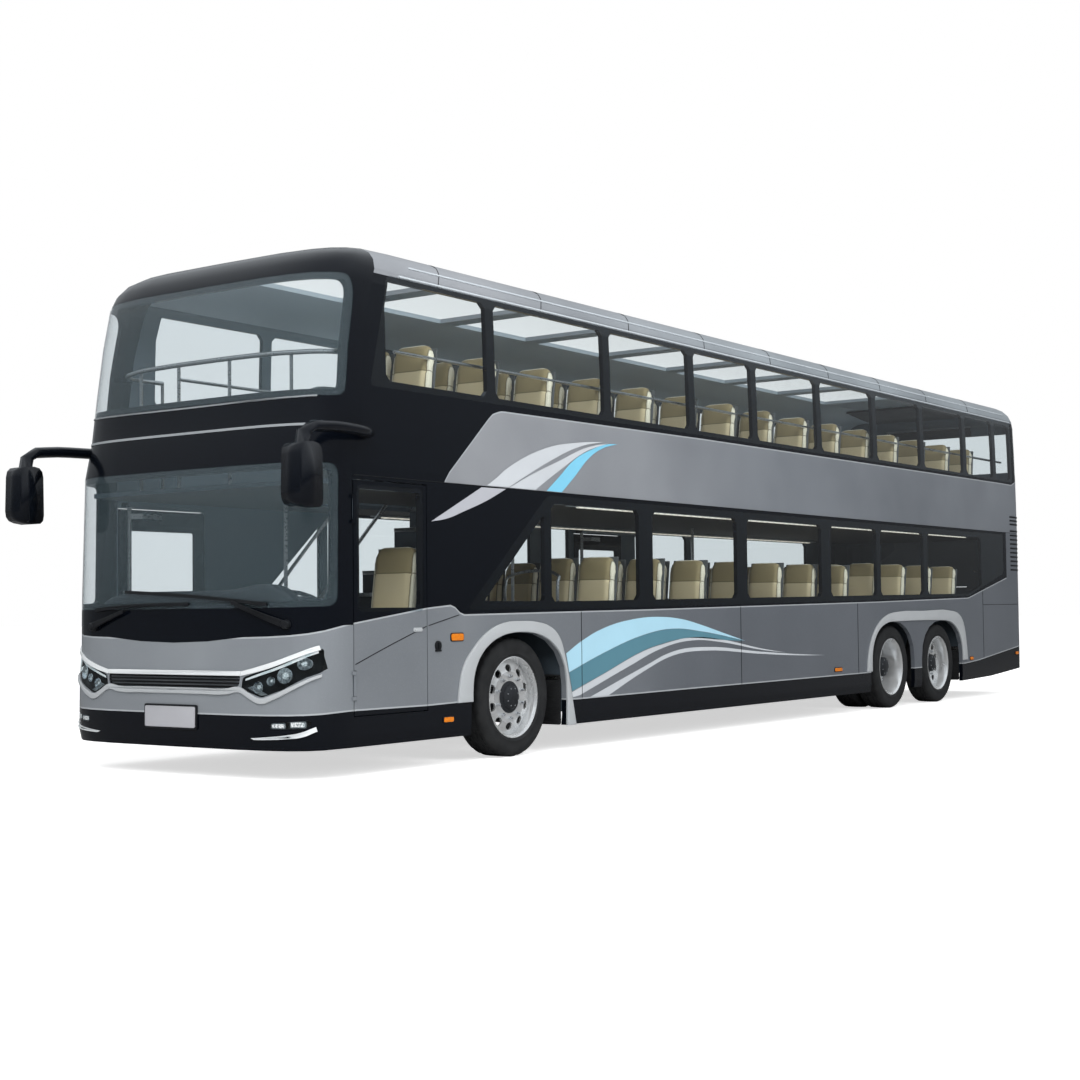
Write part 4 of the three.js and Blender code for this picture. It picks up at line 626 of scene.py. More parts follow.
# a sheet's joint where the other side has its middle door, and a dark line of painted shade in the crease
# behind the driver's door
LEFT_LINES = [[(-5.68, 0.43), (-5.68, 1.185)], [(-0.868, 1.064), (-1.233, 1.14)]]
# the crease across the driver's door, drawn as a dark line of painted shade
DOOR_CREASE_SHADE = [(-0.05, 0.80), (-0.45, 0.935), (-0.84, 1.058)]
DECK_SEAM = [(-0.04, DECK_LINE), (-13.42, DECK_LINE)]
for word, side, lines in (("left", 1, SIDE_SEAMS + LEFT_LINES), ("right", -1, SIDE_SEAMS)):
    beads = [tube(along_side(line, side), SEAM, False) for line in lines]
    piece(f"side_seams_{word}", gather(beads), sealant_and_crease_shade)
piece("driver_door_crease_shade", tube(along_side(DOOR_CREASE_SHADE, 1), SEAM), sealant_and_crease_shade, "driver_door")
for word, side in (("left", 1), ("right", -1)):
    piece(f"deck_seam_{word}", tube(along_side(DECK_SEAM, side, WALL_FACE), FINE_SEAM, False), sealant_and_crease_shade)

# ------------------------------------------------------------------ nose trim
# Mouldings clipped to the front panel: an opal light bar over the grille that climbs above the
# lamps as brows, black slats, a silver lip under them, and thin grey strips at the upper screen.


def onto_nose(form, out):
    """Bends a piece drawn as seen from ahead (y, z) onto the nose, `out` metres proud of it."""
    for vert in form.verts:
        y, z, depth = vert.co
        side, nose, _, _ = section(z)
        share = min(abs(y) / (HALF_WIDTH - side), 0.9999)
        bulge = (1 - share ** CAP_POWER) ** (1 / CAP_POWER)
        direction = skin_normal(NOSE - nose - CAP_REACH * (1 - bulge), y, z)
        base = Vector((NOSE - nose - CAP_REACH + CAP_REACH * bulge, y, z))
        vert.co = base + direction * (out + depth)
    return form


def mirrored(points):
    """A line from the middle outwards, run from the right end to the left end."""
    return [(-y, z) for y, z in reversed(points)] + [spot for spot in points if spot[0] > 0]


def nose_band(top, low, thickness, round_by, detail=5):
    """A moulding between two lines drawn from the middle outwards; its four corners stay sharp."""
    top, low = mirrored(top), mirrored(low)
    last = len(top) - 1
    return sawn(top + low[::-1], thickness, (0, last, last + 1, 2 * last + 1), round_by, detail)


# opal acrylic strips that glow when the day lamps are on, white when they are off
light_guide = enamel("opal_light_guide", "#d3d7d9", 0.2)
TRIM_OUT = 0.004          # middle of a moulding, proud of the panel
BAR_TOP = [(0, 0.762), (0.35, 0.762), (0.69, 0.762)]
BAR_LOW = [(0, 0.735), (0.35, 0.735), (0.69, 0.735)]
BROW = [(0.700, 0.760), (0.85, 0.795), (1.0, 0.838), (1.13, 0.888), (1.236, 0.938), (1.240, 0.912),
        (1.13, 0.860), (1.0, 0.808), (0.85, 0.765), (0.70, 0.735)]
BLADE_ENDS = (0, 4, 5, 9)  # the sharp corners of a slender shape drawn with five points a side
piece("grille_bar", onto_nose(nose_band(BAR_TOP, BAR_LOW, 0.014, 0.003, 8), TRIM_OUT), light_guide)
for word, side in (("left", 1), ("right", -1)):
    form = sawn([(side * y, z) for y, z in BROW], 0.012, BLADE_ENDS, 0.003, 6)
    piece(f"lamp_brow_{word}", onto_nose(form, TRIM_OUT), light_guide)

LIP_TOP = [(0, 0.638), (0.3, 0.638), (0.57, 0.639), (0.66, 0.652), (0.70, 0.646), (0.78, 0.606),
           (0.875, 0.574), (0.96, 0.594), (1.06, 0.634), (1.16, 0.684), (1.245, 0.735)]
LIP_LOW = [(0, 0.604), (0.3, 0.604), (0.57, 0.606), (0.66, 0.622), (0.70, 0.618), (0.78, 0.578),
           (0.875, 0.544), (0.96, 0.566), (1.06, 0.612), (1.16, 0.668), (1.245, 0.725)]
piece("grille_lip", onto_nose(nose_band(LIP_TOP, LIP_LOW, 0.018, 0.005), TRIM_OUT), flare_silver, sharp=50)

grille_black = enamel("moulded_black_plastic", "#15171a", 0.45)     # ABS: dull and near black
SLAT_HEIGHTS, SLAT_HALF, SLAT_SET_IN = (0.655, 0.679, 0.703, 0.725), 0.005, 0.010
SLAT_OUT = (0, 0.34, 0.675)             # points of a slat from the middle outwards
slats = []
for height in SLAT_HEIGHTS:
    top, low = ([(out, height + half) for out in SLAT_OUT] for half in (SLAT_HALF, -SLAT_HALF))
    slats.append(onto_nose(nose_band(top, low, 0.014, 0.002), -SLAT_SET_IN))
piece("grille_slats", gather(slats), grille_black)

strip_grey = enamel("satin_anodised_strip", "#888d91", 0.35)    # drawn aluminium: a soft grey line
STRIP_LOW, STRIP_TOP, STRIP_PROUD, STRIP_THICK = 2.486, 2.496, 0.003, 0.008
form = bmesh.new()
bmesh.ops.create_grid(form, x_segments=72, y_segments=1, size=0.5)
for vert in form.verts:
    # the strip's plan follows the cap from joint to joint
    turn = math.pi * vert.co.x
    z = STRIP_LOW if vert.co.y < 0 else STRIP_TOP
    side, nose, _, _ = section(z)
    ahead = abs(math.cos(turn)) ** (2 / CAP_POWER)
    aside = math.copysign(abs(math.sin(turn)) ** (2 / CAP_POWER), turn)
    vert.co = (NOSE - nose - CAP_REACH + (CAP_REACH + STRIP_PROUD) * ahead,
               (HALF_WIDTH - side + STRIP_PROUD) * aside, z)
bmesh.ops.solidify(form, geom=form.faces[:], thickness=STRIP_THICK)
piece("screen_strip", form, strip_grey)
SILL_LINE, SILL_HALF = [(0, 2.676), (0.4, 2.677), (0.8, 2.680), (1.05, 2.684), (1.18, 2.690)], 0.004
sill = mirrored(SILL_LINE)
form = sawn([(y, z + SILL_HALF) for y, z in sill] + [(y, z - SILL_HALF) for y, z in reversed(sill)], 0.008,
            range(2 * len(sill)), 0.002)
bmesh.ops.subdivide_edges(form, edges=form.edges[:], cuts=4)
piece("screen_sill", onto_nose(form, 0.001), strip_grey)

# ------------------------------------------------------------------ wheels
# Radial tyres on forged and polished aluminium rims with ten hand holes, bolted to dark hubs.
# The drive axle carries twins, so its rims are deep-dished; each wheel turns as one body.
AXLE_HEIGHT = 0.47607     # the round tyre just stands on the ground
WHEEL_FACE = 1.235        # the tyre's outer face from the centre plane
TYRE_WIDTH, TWIN_PITCH = 0.272, 0.316

rubber, tree, shader, place = surface("tyre_rubber", {"Roughness": 0.72, "Specular IOR Level": 0.35})
# carbon-black rubber: matt, faintly ribbed, with a trace of road dust
dust = add(tree, "TexNoise", {"Scale": 9.0, "Detail": 5.0}, {"Vector": place})
tone = add(tree, "Mix", {"data_type": "RGBA", 6: srgb("#121315"), 7: srgb("#2b2c2d")}, {"Factor": dust})
grit = add(tree, "TexNoise", {"Scale": 420.0, "Detail": 2.0}, {"Vector": place})
bump = add(tree, "Bump", {"Strength": 0.25, "Distance": 0.001}, {"Height": grit})
wire(shader, {"Base Color": tone, "Normal": bump})

alloy, tree, shader, place = surface("polished_aluminium", {"Metallic": 0.7, "Base Color": srgb("#e3e5e6")})
# forged and buffed: bright, with soft smears of brake dust
smears = add(tree, "TexNoise", {"Scale": 7.0, "Detail": 2.0}, {"Vector": place})
gloss = add(tree, "MapRange", {"From Min": 0.3, "From Max": 0.7, "To Min": 0.1, "To Max": 0.3},
            {"Value": smears})
tone = add(tree, "Mix", {"data_type": "RGBA", 6: srgb("#f4f5f5"), 7: srgb("#c3c6c8")}, {"Factor": smears})
wire(shader, {"Roughness": gloss, "Base Color": tone})

iron, tree, shader, place = surface("cast_iron", {"Metallic": 0.5, "Roughness": 0.55})
# cast and painted dark: grainy, with a dull sheen
grain = add(tree, "TexNoise", {"Scale": 160.0, "Detail": 3.0}, {"Vector": place})
tone = add(tree, "Mix", {"data_type": "RGBA", 6: srgb("#1d1f22"), 7: srgb("#3a3d41")}, {"Factor": grain})
bump = add(tree, "Bump", {"Strength": 0.35, "Distance": 0.001}, {"Height": grain})
wire(shader, {"Base Color": tone, "Normal": bump})

chrome, tree, shader, place = surface("chromed_plastic", {"Base Color": srgb("#e6e9ec"), "Metallic": 1.0,
                                                          "Roughness": 0.12})
# bright electroplate over ABS: a near mirror with slight moulding waves
waves = add(tree, "TexNoise", {"Scale": 25.0, "Detail": 1.0}, {"Vector": place})
bump = add(tree, "Bump", {"Strength": 0.08, "Distance": 0.002}, {"Height": waves})
wire(shader, {"Normal": bump})


def turned(profile, segments=96):
    """A solid of revolution about Z from a closed profile of (radius, depth)."""
    form = bmesh.new()
    ring = [form.verts.new((radius, 0, depth)) for radius, depth in profile]
    edges = [form.edges.new((a, b)) for a, b in zip(ring, ring[1:] + ring[:1])]
    bmesh.ops.spin(form, geom=ring + edges, cent=(0, 0, 0), axis=(0, 0, 1), angle=2 * math.pi,
                   steps=segments, use_merge=True)
    bmesh.ops.remove_doubles(form, verts=form.verts, dist=1e-5)
    return form


def drilled(form, holes):
    """Cuts the second bmesh out of the first."""
    bodies = []
    for part in (form, holes):
        bmesh.ops.recalc_face_normals(part, faces=part.faces)
        mesh = bpy.data.meshes.new("blank")
        part.to_mesh(mesh)
        part.free()
        bodies.append(bpy.data.objects.new("blank", mesh))
        scene.collection.objects.link(bodies[-1])
    cut = bodies[0].modifiers.new("cut", "BOOLEAN")
    cut.operation, cut.object, cut.solver = "DIFFERENCE", bodies[1], "EXACT"
    bpy.context.view_layer.update()
    made = bpy.data.meshes.new_from_object(bodies[0].evaluated_get(bpy.context.evaluated_depsgraph_get()))
    result = bmesh.new()
    result.from_mesh(made)
    for blank in bodies:
        bpy.data.objects.remove(blank)
    bpy.data.meshes.remove(made)
    return result


BEAD = 0.306              # radius of the tyre's inner edge
# Half a tyre's section, from its outer bead over the side wall to the tread: (radius, depth).
TYRE_HALF = [(BEAD, 0.030), (0.318, 0.022), (0.328, 0.014), (0.345, 0.0075), (0.349, 0.0045),
             (0.353, 0.0065), (0.385, 0.001), (0.412, 0.0), (0.416, 0.0), (0.436, 0.003), (0.452, 0.010),
             (0.463, 0.019), (0.4705, 0.028), (0.4735, 0.036), (0.4742, 0.060), (0.466, 0.062),
             (0.466, 0.070), (0.4750, 0.072), (0.4755, 0.098), (0.467, 0.100), (0.467, 0.108),
             (0.4758, 0.110)]
TREAD_STEPS, GROOVE_STEP = 120, 4       # a block and a groove take four steps
TREAD_RADIUS, GROOVE = 0.4695, 0.007    # what lies further out is tread; depth of a groove


def tyre_form(start):
    """One tyre with grooves across its tread, its outer side wall `start` behind the wheel's face."""
    far = [(radius, TYRE_WIDTH - depth) for radius, depth in reversed(TYRE_HALF)]
    closed = TYRE_HALF + far + [(BEAD, 0.13)]
    form = turned([(radius, start + depth) for radius, depth in closed], TREAD_STEPS)
    for vert in form.verts:
        radius = math.hypot(vert.co.x, vert.co.y)
        step = round(math.atan2(vert.co.y, vert.co.x) / (2 * math.pi) * TREAD_STEPS)
        if radius > TREAD_RADIUS and step % GROOVE_STEP == 0:
            vert.co.xy *= (radius - GROOVE) / radius
    return form


def ring_of(count, circle, maker):
    """Copies of one small form round the axle."""
    copies = []
    for i in range(count):
        turn = 2 * math.pi * (i + 0.5) / count
        form = maker()
        form.transform(Matrix.Rotation(turn, 4, "Z") @ Matrix.Translation((circle, 0, 0)))
        copies.append(form)
    return gather(copies)


def stud(radius, depth, height, sides=6):
    """A wheel nut with its domed cap, standing out from `depth`."""
    form = bmesh.new()
    bmesh.ops.create_cone(form, cap_ends=True, segments=sides, radius1=radius * 0.72, radius2=radius,
                          depth=height, matrix=Matrix.Translation((0, 0, depth - height / 2)))
    bmesh.ops.bevel(form, geom=form.edges[:], offset=radius * 0.16, segments=1, affect="EDGES", profile=0.5,
                    material=-1)
    return form


def bore(radius, depth):
    """What is cut out for one hand hole: a little wider round the wheel than towards the hub."""
    form = bmesh.new()
    bmesh.ops.create_cone(form, cap_ends=True, segments=24, radius1=radius, radius2=radius, depth=0.08,
                          matrix=Matrix.Translation((0, 0, depth)) @ Matrix.Scale(1.18, 4, (0, 1, 0)))
    return form


# Each axle: station, disc's depth behind the tyre's face at its rim and at the nuts, hub's outer
# end and its radius, where the tyres start.
AXLE_ROWS = {
    "front": (-2.0, 0.088, 0.060, 0.020, 0.098, (0.0,)),
    "drive": (-9.36, 0.262, 0.276, 0.084, 0.112, (0.0, TWIN_PITCH)),
    "tag": (-10.755, 0.138, 0.150, 0.074, 0.105, (0.0,)),
}
NUT_COUNT, NUT_CIRCLE, NUT_RADIUS, NUT_HEIGHT = 10, 0.1675, 0.0165, 0.034
HOLE_COUNT, HOLE_CIRCLE, HOLE_RADIUS = 10, 0.232, 0.031
HUB_BOLTS, BOLT_RADIUS, BOLT_HEIGHT = 8, 0.007, 0.010
RIM_OUT, BARREL, WHEEL_SHARP = 0.321, 0.303, 40
for axle, (station, disc_rim, disc_nuts, hub_out, hub_radius, tyres) in AXLE_ROWS.items():
    inner_end = tyres[-1] + TYRE_WIDTH
    rim = [(BARREL, disc_rim), (BARREL, 0.034), (0.309, 0.026), (0.316, 0.016), (RIM_OUT, 0.011),
           (0.326, 0.013), (0.326, 0.020), (0.318, 0.030), (0.312, 0.040), (0.312, inner_end - 0.03),
           (0.322, inner_end - 0.02), (0.318, inner_end - 0.014), (BARREL, inner_end - 0.024),
           (BARREL, disc_rim + 0.02)]
    middle = (disc_rim + disc_nuts) / 2
    plate = [(BARREL + 0.001, disc_rim), (0.292, disc_rim - 0.004), (0.262, middle - 0.002),
             (HOLE_CIRCLE, middle - 0.006), (0.205, disc_nuts - 0.004), (0.192, disc_nuts), (0.10, disc_nuts),
             (0.10, disc_nuts + 0.012), (0.192, disc_nuts + 0.012), (HOLE_CIRCLE, middle + 0.008),
             (0.262, middle + 0.012), (BARREL + 0.001, disc_rim + 0.014)]
    hub = [(0.0, hub_out), (hub_radius * 0.55, hub_out), (hub_radius * 0.6, hub_out + 0.004),
           (hub_radius * 0.86, hub_out + 0.006), (hub_radius * 0.97, hub_out + 0.016),
           (hub_radius, hub_out + 0.03), (hub_radius, disc_nuts - 0.012), (0.128, disc_nuts - 0.004),
           (0.128, disc_nuts + 0.02), (0.205, disc_nuts + 0.03), (0.205, disc_nuts + 0.10),
           (0.190, disc_nuts + 0.10), (0.190, disc_nuts + 0.045), (0.118, disc_nuts + 0.045),
           (0.118, disc_nuts + 0.08), (0.062, disc_nuts + 0.08), (0.062, hub_out + 0.032),
           (0.0, hub_out + 0.032)]
    for word, side in (("left", 1), ("right", -1)):
        wheel = f"wheel_{axle}_{word}"
        stand = Matrix(((1, 0, 0, station + FRONT_JOINT), (0, 0, -side, side * WHEEL_FACE),
                        (0, 1, 0, AXLE_HEIGHT), (0, 0, 0, 1)))
        tyre = gather([tyre_form(start) for start in tyres])
        holes = ring_of(HOLE_COUNT, HOLE_CIRCLE, lambda: bore(HOLE_RADIUS, middle))
        rims = gather([drilled(turned(plate), holes), turned(rim)])
        nuts = ring_of(NUT_COUNT, NUT_CIRCLE, lambda: stud(NUT_RADIUS, disc_nuts + 0.002, NUT_HEIGHT))
        bolts = ring_of(HUB_BOLTS, hub_radius * 0.73, lambda: stud(BOLT_RADIUS, hub_out + 0.006, BOLT_HEIGHT))
        hubs = turned(hub)
        for form in (tyre, rims, nuts, bolts, hubs):
            form.transform(stand)
        tread = piece(f"tyre_{axle}_{word}", tyre, rubber, wheel, WHEEL_SHARP)
        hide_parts(wheel)
        piece(f"rim_{axle}_{word}", rims, alloy, wheel, WHEEL_SHARP)
        piece(f"wheel_nuts_{axle}_{word}", gather([nuts, bolts]), chrome, wheel, WHEEL_SHARP)
        piece(f"hub_{axle}_{word}", hubs, iron, wheel, WHEEL_SHARP)

# ------------------------------------------------------------------ running gear and underside
# Forged axle beams, knuckles, pressed chassis rails and the engine: painted steel and iron,
# dusty from the road, left as their solids stand.
chassis_paint, tree, shader, place = surface("chassis_paint", {"Roughness": 0.6, "Specular IOR Level": 0.3})
# thick black underbody paint with dry road dust caught in it
dust = add(tree, "TexNoise", {"Scale": 4.0, "Detail": 6.0}, {"Vector": place})
ramp = add(tree, "MapRange", {"From Min": 0.45, "From Max": 0.75, "To Min": 0.0, "To Max": 0.6},
           {"Value": dust})
tone = add(tree, "Mix", {"data_type": "RGBA", 6: srgb("#17181a"), 7: srgb("#4a453d")}, {"Factor": ramp})
bump = add(tree, "Bump", {"Strength": 0.4, "Distance": 0.002}, {"Height": dust})
wire(shader, {"Base Color": tone, "Normal": bump})
dress(chassis_paint, "chassis_frame", "engine_block")
dress(iron, "front_axle", "drive_axle", "tag_axle", "knuckle_left", "knuckle_right")

# ------------------------------------------------------------------ seats
# High-backed coach seats in pairs: moulded foam in tan leather, a darker headrest panel sewn on
# above a cross seam, paler side bolsters and piping, a grey back shell and steel legs.
SEAT_WIDTH = 0.4275
SEAT_DEPTH, BACK_THICK, BACK_LEAN, CUSHION_THICK = 0.45, 0.11, 0.13, 0.12
BACK_FULL = 0.70          # height of a full backrest from just under the cushion's top
HEAD_SEAM, TOP_SEAM, SIDE_SEAM = 0.12, 0.318, 0.163     # up from a backrest's middle, and out from it

leather, tree, shader, place = surface("tan_leather", {"Roughness": 0.5, "Specular IOR Level": 0.35,
                                                       "Sheen Weight": 0.1})
# pigmented cowhide over foam: a fine grain drawn at 3 mm so that it shows, worn a little paler
across = add(tree, "Attribute", {"attribute_name": "across"}).outputs["Fac"]
up = add(tree, "Attribute", {"attribute_name": "up"}).outputs["Fac"]
aside = add(tree, "Math", {"operation": "ABSOLUTE"}, {0: across})
wear = add(tree, "TexNoise", {"Scale": 7.0, "Detail": 4.0}, {"Vector": place})
hide = add(tree, "Mix", {"data_type": "RGBA", 6: srgb("#d2bf97"), 7: srgb("#dccba8")}, {"Factor": wear})
over_head = add(tree, "Math", {"operation": "GREATER_THAN", 1: HEAD_SEAM}, {0: up})
past_side = add(tree, "Math", {"operation": "GREATER_THAN", 1: SIDE_SEAM}, {0: aside})
near_top = add(tree, "Math", {"operation": "GREATER_THAN", 1: TOP_SEAM}, {0: up})
edging = add(tree, "Math", {"operation": "MAXIMUM"}, {0: past_side, 1: near_top})
to_seam = []
for reach, line in ((up, HEAD_SEAM), (aside, SIDE_SEAM)):
    gap = add(tree, "Math", {"operation": "SUBTRACT", 1: line}, {0: reach})
    to_seam.append(add(tree, "Math", {"operation": "ABSOLUTE"}, {0: gap}))
nearest = add(tree, "Math", {"operation": "MINIMUM"}, {0: to_seam[0], 1: to_seam[1]})
stitch = add(tree, "MapRange", {"From Min": 0.002, "From Max": 0.006, "To Min": 0.8, "To Max": 0.0},
             {"Value": nearest})
for share, code in ((over_head, "#9c8c68"), (edging, "#ece3cc"), (stitch, "#6b5f45")):
    hide = add(tree, "Mix", {"data_type": "RGBA", 7: srgb(code)}, {"Factor": share, 6: hide})
grain = add(tree, "TexVoronoi", {"Scale": 330.0}, {"Vector": place})
bump = add(tree, "Bump", {"Strength": 0.2, "Distance": 0.0008}, {"Height": grain})
wire(shader, {"Base Color": hide, "Normal": bump})
shell_grey = enamel("grey_back_shell", "#5b5d5e", 0.5)          # moulded ABS and painted steel, satin
CORNER, WAIST = 6, 0.03                 # how square a pad's corners are; how far its sides pull in
VOXEL, PRESSURE, SWELL_FRAMES = 0.008, 4.0, 20


def pad(depth, width, height, cuts):
    """A foam block with rounded corners, its middle at the origin, sides pulled in a little."""
    form = bmesh.new()
    bmesh.ops.create_cube(form, size=2)
    bmesh.ops.subdivide_edges(form, edges=form.edges[:], cuts=cuts, use_grid_fill=True)
    for vert in form.verts:
        a, b, c = vert.co
        stretch = (abs(a) ** CORNER + abs(b) ** CORNER + abs(c) ** CORNER) ** (1 / CORNER)
        pull = 1 - WAIST * (1 - b * b) * (1 - c * c)
        vert.co = Vector((a / stretch * depth / 2, b / stretch * width / 2 * pull, c / stretch * height / 2))
    return form


def plumped(form, limit, faces):
    """Lets the foam push its cover out: remesh, cloth under pressure, capped, thinned to `faces`."""
    mesh = bpy.data.meshes.new("cover")
    form.to_mesh(mesh)
    form.free()
    cover = bpy.data.objects.new("cover", mesh)
    scene.collection.objects.link(cover)
    remesh = cover.modifiers.new("remesh", "REMESH")
    remesh.mode, remesh.voxel_size = "VOXEL", VOXEL
    even = bpy.data.meshes.new_from_object(cover.evaluated_get(bpy.context.evaluated_depsgraph_get()))
    cover.modifiers.clear()
    cover.data = even
    rest = [vert.co.copy() for vert in even.vertices]
    cloth = cover.modifiers.new("cloth", "CLOTH")
    cloth.settings.use_pressure = True
    cloth.settings.uniform_pressure_force = PRESSURE
    cloth.settings.effector_weights.gravity = 0
    cloth.settings.quality = 5
    for number in range(1, SWELL_FRAMES + 1):
        scene.frame_set(number)
    swollen = bpy.data.meshes.new_from_object(cover.evaluated_get(bpy.context.evaluated_depsgraph_get()))
    scene.frame_set(1)
    cover.modifiers.clear()
    cover.data = swollen
    for vert, start in zip(swollen.vertices, rest):
        move = vert.co - start
        if move.length > limit:
            vert.co = start + move.normalized() * limit
    thin = cover.modifiers.new("thin", "DECIMATE")
    thin.ratio = min(1.0, faces / (2 * len(swollen.polygons)))
    final = bpy.data.meshes.new_from_object(cover.evaluated_get(bpy.context.evaluated_depsgraph_get()))
    bpy.data.objects.remove(cover)
    result = bmesh.new()
    result.from_mesh(final)
    bpy.data.meshes.remove(final)
    return result


def sew(form, seams, lift):
    """Pulls seams into a pad, (axis, place, depth), and notes each point's place for its panels."""
    form.normal_update()
    across, up = (form.verts.layers.float.new(name) for name in ("across", "up"))
    for vert in form.verts:
        for axis, spot, depth in seams:
            far = abs(vert.co[axis] - spot)
            if far < SEAM_REACH:
                vert.co -= vert.normal * depth * (1 - far / SEAM_REACH)
        vert[across], vert[up] = vert.co.y, vert.co.z + lift
    return form


# One backrest and one cushion are made, a little small because they swell, and then copied to
# every seat. A cushion's points are noted far below the head seam, so it has no head panel.
SEAM_REACH, DEEP_SEAM, SHALLOW_SEAM = 0.02, 0.012, 0.008
PAD_SIDES = [(1, SIDE_SEAM, SHALLOW_SEAM), (1, -SIDE_SEAM, SHALLOW_SEAM)]
back = plumped(pad(BACK_THICK - 0.022, SEAT_WIDTH - 0.036, BACK_FULL - 0.02, 9), 0.012, 1500)
back = sew(back, [(2, HEAD_SEAM, DEEP_SEAM)] + PAD_SIDES, 0.0)
seat = plumped(pad(SEAT_DEPTH - 0.02, SEAT_WIDTH - 0.03, CUSHION_THICK - 0.02, 7), 0.01, 900)
seat = sew(seat, PAD_SIDES + [(0, 0.15, 0.006)], -1.0)
MASTERS = {}
for word, form in (("back", back), ("seat", seat)):
    MASTERS[word] = bpy.data.meshes.new("master_" + word)
    form.to_mesh(MASTERS[word])
    form.free()


def block(x0, x1, y0, y1, z0, z1, round_by):
    """A bevelled block between two corners."""
    form = bmesh.new()
    middle = Matrix.Translation(((x0 + x1) / 2, (y0 + y1) / 2, (z0 + z1) / 2))
    bmesh.ops.create_cube(form, size=1, matrix=middle @ Matrix.Diagonal((x1 - x0, y1 - y0, z1 - z0, 1)))
    bmesh.ops.bevel(form, geom=form.edges[:], offset=round_by, segments=2, affect="EDGES", profile=0.5,
                    material=-1)
    return form


def seat_pads(x, y, cushion, top):
    """One seat's backrest and cushion, moved to their place: front edge x, middle y."""
    forms = []
    height = top - cushion + 0.02
    stretch = min(1.0, height / BACK_FULL)
    lean = math.atan2(BACK_LEAN - 0.03, height)
    rear = x - SEAT_DEPTH
    for word, move in (
            ("back", Matrix.Translation((rear - BACK_LEAN / 2 + BACK_THICK / 2 - 0.006, y, top - height / 2))
             @ Matrix.Rotation(-lean, 4, "Y") @ Matrix.Diagonal((1, 1, stretch, 1))),
            ("seat", Matrix.Translation((x - SEAT_DEPTH / 2 + 0.005, y, cushion - CUSHION_THICK / 2))
             @ Matrix.Rotation(-0.03, 4, "Y"))):
        form = bmesh.new()
        form.from_mesh(MASTERS[word])
        form.transform(move)
        forms.append(form)
    return forms


def seat_frame(x, y, cushion, top):
    """Back shell and under-seat pan for one seat."""
    height = top - cushion
    lean = math.atan2(BACK_LEAN - 0.03, height)
    shell = block(-0.008, 0.008, -SHELL_HALF, SHELL_HALF, -height / 2 - 0.03, height / 2 - 0.05, 0.007)
    shell.transform(Matrix.Translation((x - SEAT_DEPTH - BACK_LEAN / 2 + 0.002, y, (top + cushion) / 2))
                    @ Matrix.Rotation(-lean, 4, "Y"))
    pan = block(x - SEAT_DEPTH + 0.02, x - 0.03, y - SHELL_HALF, y + SHELL_HALF, cushion - 0.145,
                cushion - 0.105, 0.01)
    return [shell, pan]


SHELL_HALF, AISLE_SIDE, ARM_OUT, LEGS_OUT = 0.19, 0.35, 0.362, (0.42, 0.95)
LEG_SPANS, LEG_ROOM = ((-0.40, -0.34), (-0.16, -0.10)), 0.2     # legs only where there is this much room


def bench(rows, side):
    """Pads and frames of one bank: a pair of seats for each (front edge, base, cushion, top)."""
    pads, frames = [], []
    for x, base, cushion, top in rows:
        for y in (AISLE_SIDE + SEAT_WIDTH / 2, AISLE_SIDE + 1.5 * SEAT_WIDTH):
            pads += seat_pads(x, side * y, cushion, top)
            frames += seat_frame(x, side * y, cushion, top)
        if cushion - base > LEG_ROOM:
            for y in [side * out for out in LEGS_OUT]:
                for rear, front in LEG_SPANS:
                    frames.append(block(x + rear, x + front, y - 0.02, y + 0.02, base, cushion - 0.11, 0.006))
                frames.append(block(x - 0.42, x - 0.08, y - 0.03, y + 0.03, base, base + 0.02, 0.006))
        y = side * ARM_OUT
        frames.append(block(x - 0.42, x - 0.06, y - 0.016, y + 0.016, cushion + 0.17, cushion + 0.205, 0.012))
        frames.append(block(x - 0.45, x - 0.38, y - 0.012, y + 0.012, cushion - 0.05, cushion + 0.19, 0.006))
    return gather(pads), gather(frames)


SEAT_PITCH, UPPER_BASE, UPPER_CUSHION, UPPER_TOP = 0.79, 2.1104, 2.55, 3.235
PLATFORM, TAIL_FLOOR, HOUSE_TOP = 0.5304, 0.6404, 1.0604
LOWER_CUSHION, HOUSE_CUSHION, LOWER_TOP, LAST_ROW = 0.95, 1.185, 1.69, -11.60
REAR_HOUSE, DOOR_GAP = (-11.465, -8.64), (-7.475, -5.77)        # rear and front end of each


def upper_bank(first, count):
    """Rows of the upper deck, from station `first` backwards."""
    return [(first - SEAT_PITCH * i + FRONT_JOINT, UPPER_BASE, UPPER_CUSHION, UPPER_TOP)
            for i in range(count)]


def lower_bank(first):
    """Rows of the lower deck: on the platforms, over the rear wheel house and behind it."""
    rows = []
    station = first
    while station > LAST_ROW:
        back_edge = station - SEAT_DEPTH - BACK_LEAN
        over_house = back_edge < REAR_HOUSE[1] + 0.02 and station > REAR_HOUSE[0] - 0.02
        base = HOUSE_TOP if over_house else TAIL_FLOOR if station < REAR_HOUSE[0] else PLATFORM
        rows.append((station + FRONT_JOINT, base, HOUSE_CUSHION if over_house else LOWER_CUSHION, LOWER_TOP))
        station -= SEAT_PITCH
    return rows


def clear_of_door(row):
    """Whether a row leaves the middle door free."""
    station = row[0] - FRONT_JOINT
    return station > DOOR_GAP[1] or station < DOOR_GAP[0]


BANKS = {
    "seats_upper_left": (upper_bank(-0.56, 15), 1),
    "seats_upper_right": (upper_bank(-3.35, 12), -1),
    "seats_lower_left": (lower_bank(-3.08), 1),
    "seats_lower_right": (list(filter(clear_of_door, lower_bank(-3.28))), -1),
}
for name, (rows, side) in BANKS.items():
    pads, frames = bench(rows, side)
    cushions = piece(name + "_leather", pads, leather, sharp=60)
    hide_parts(name)
    piece(name + "_frames", frames, shell_grey, sharp=40)

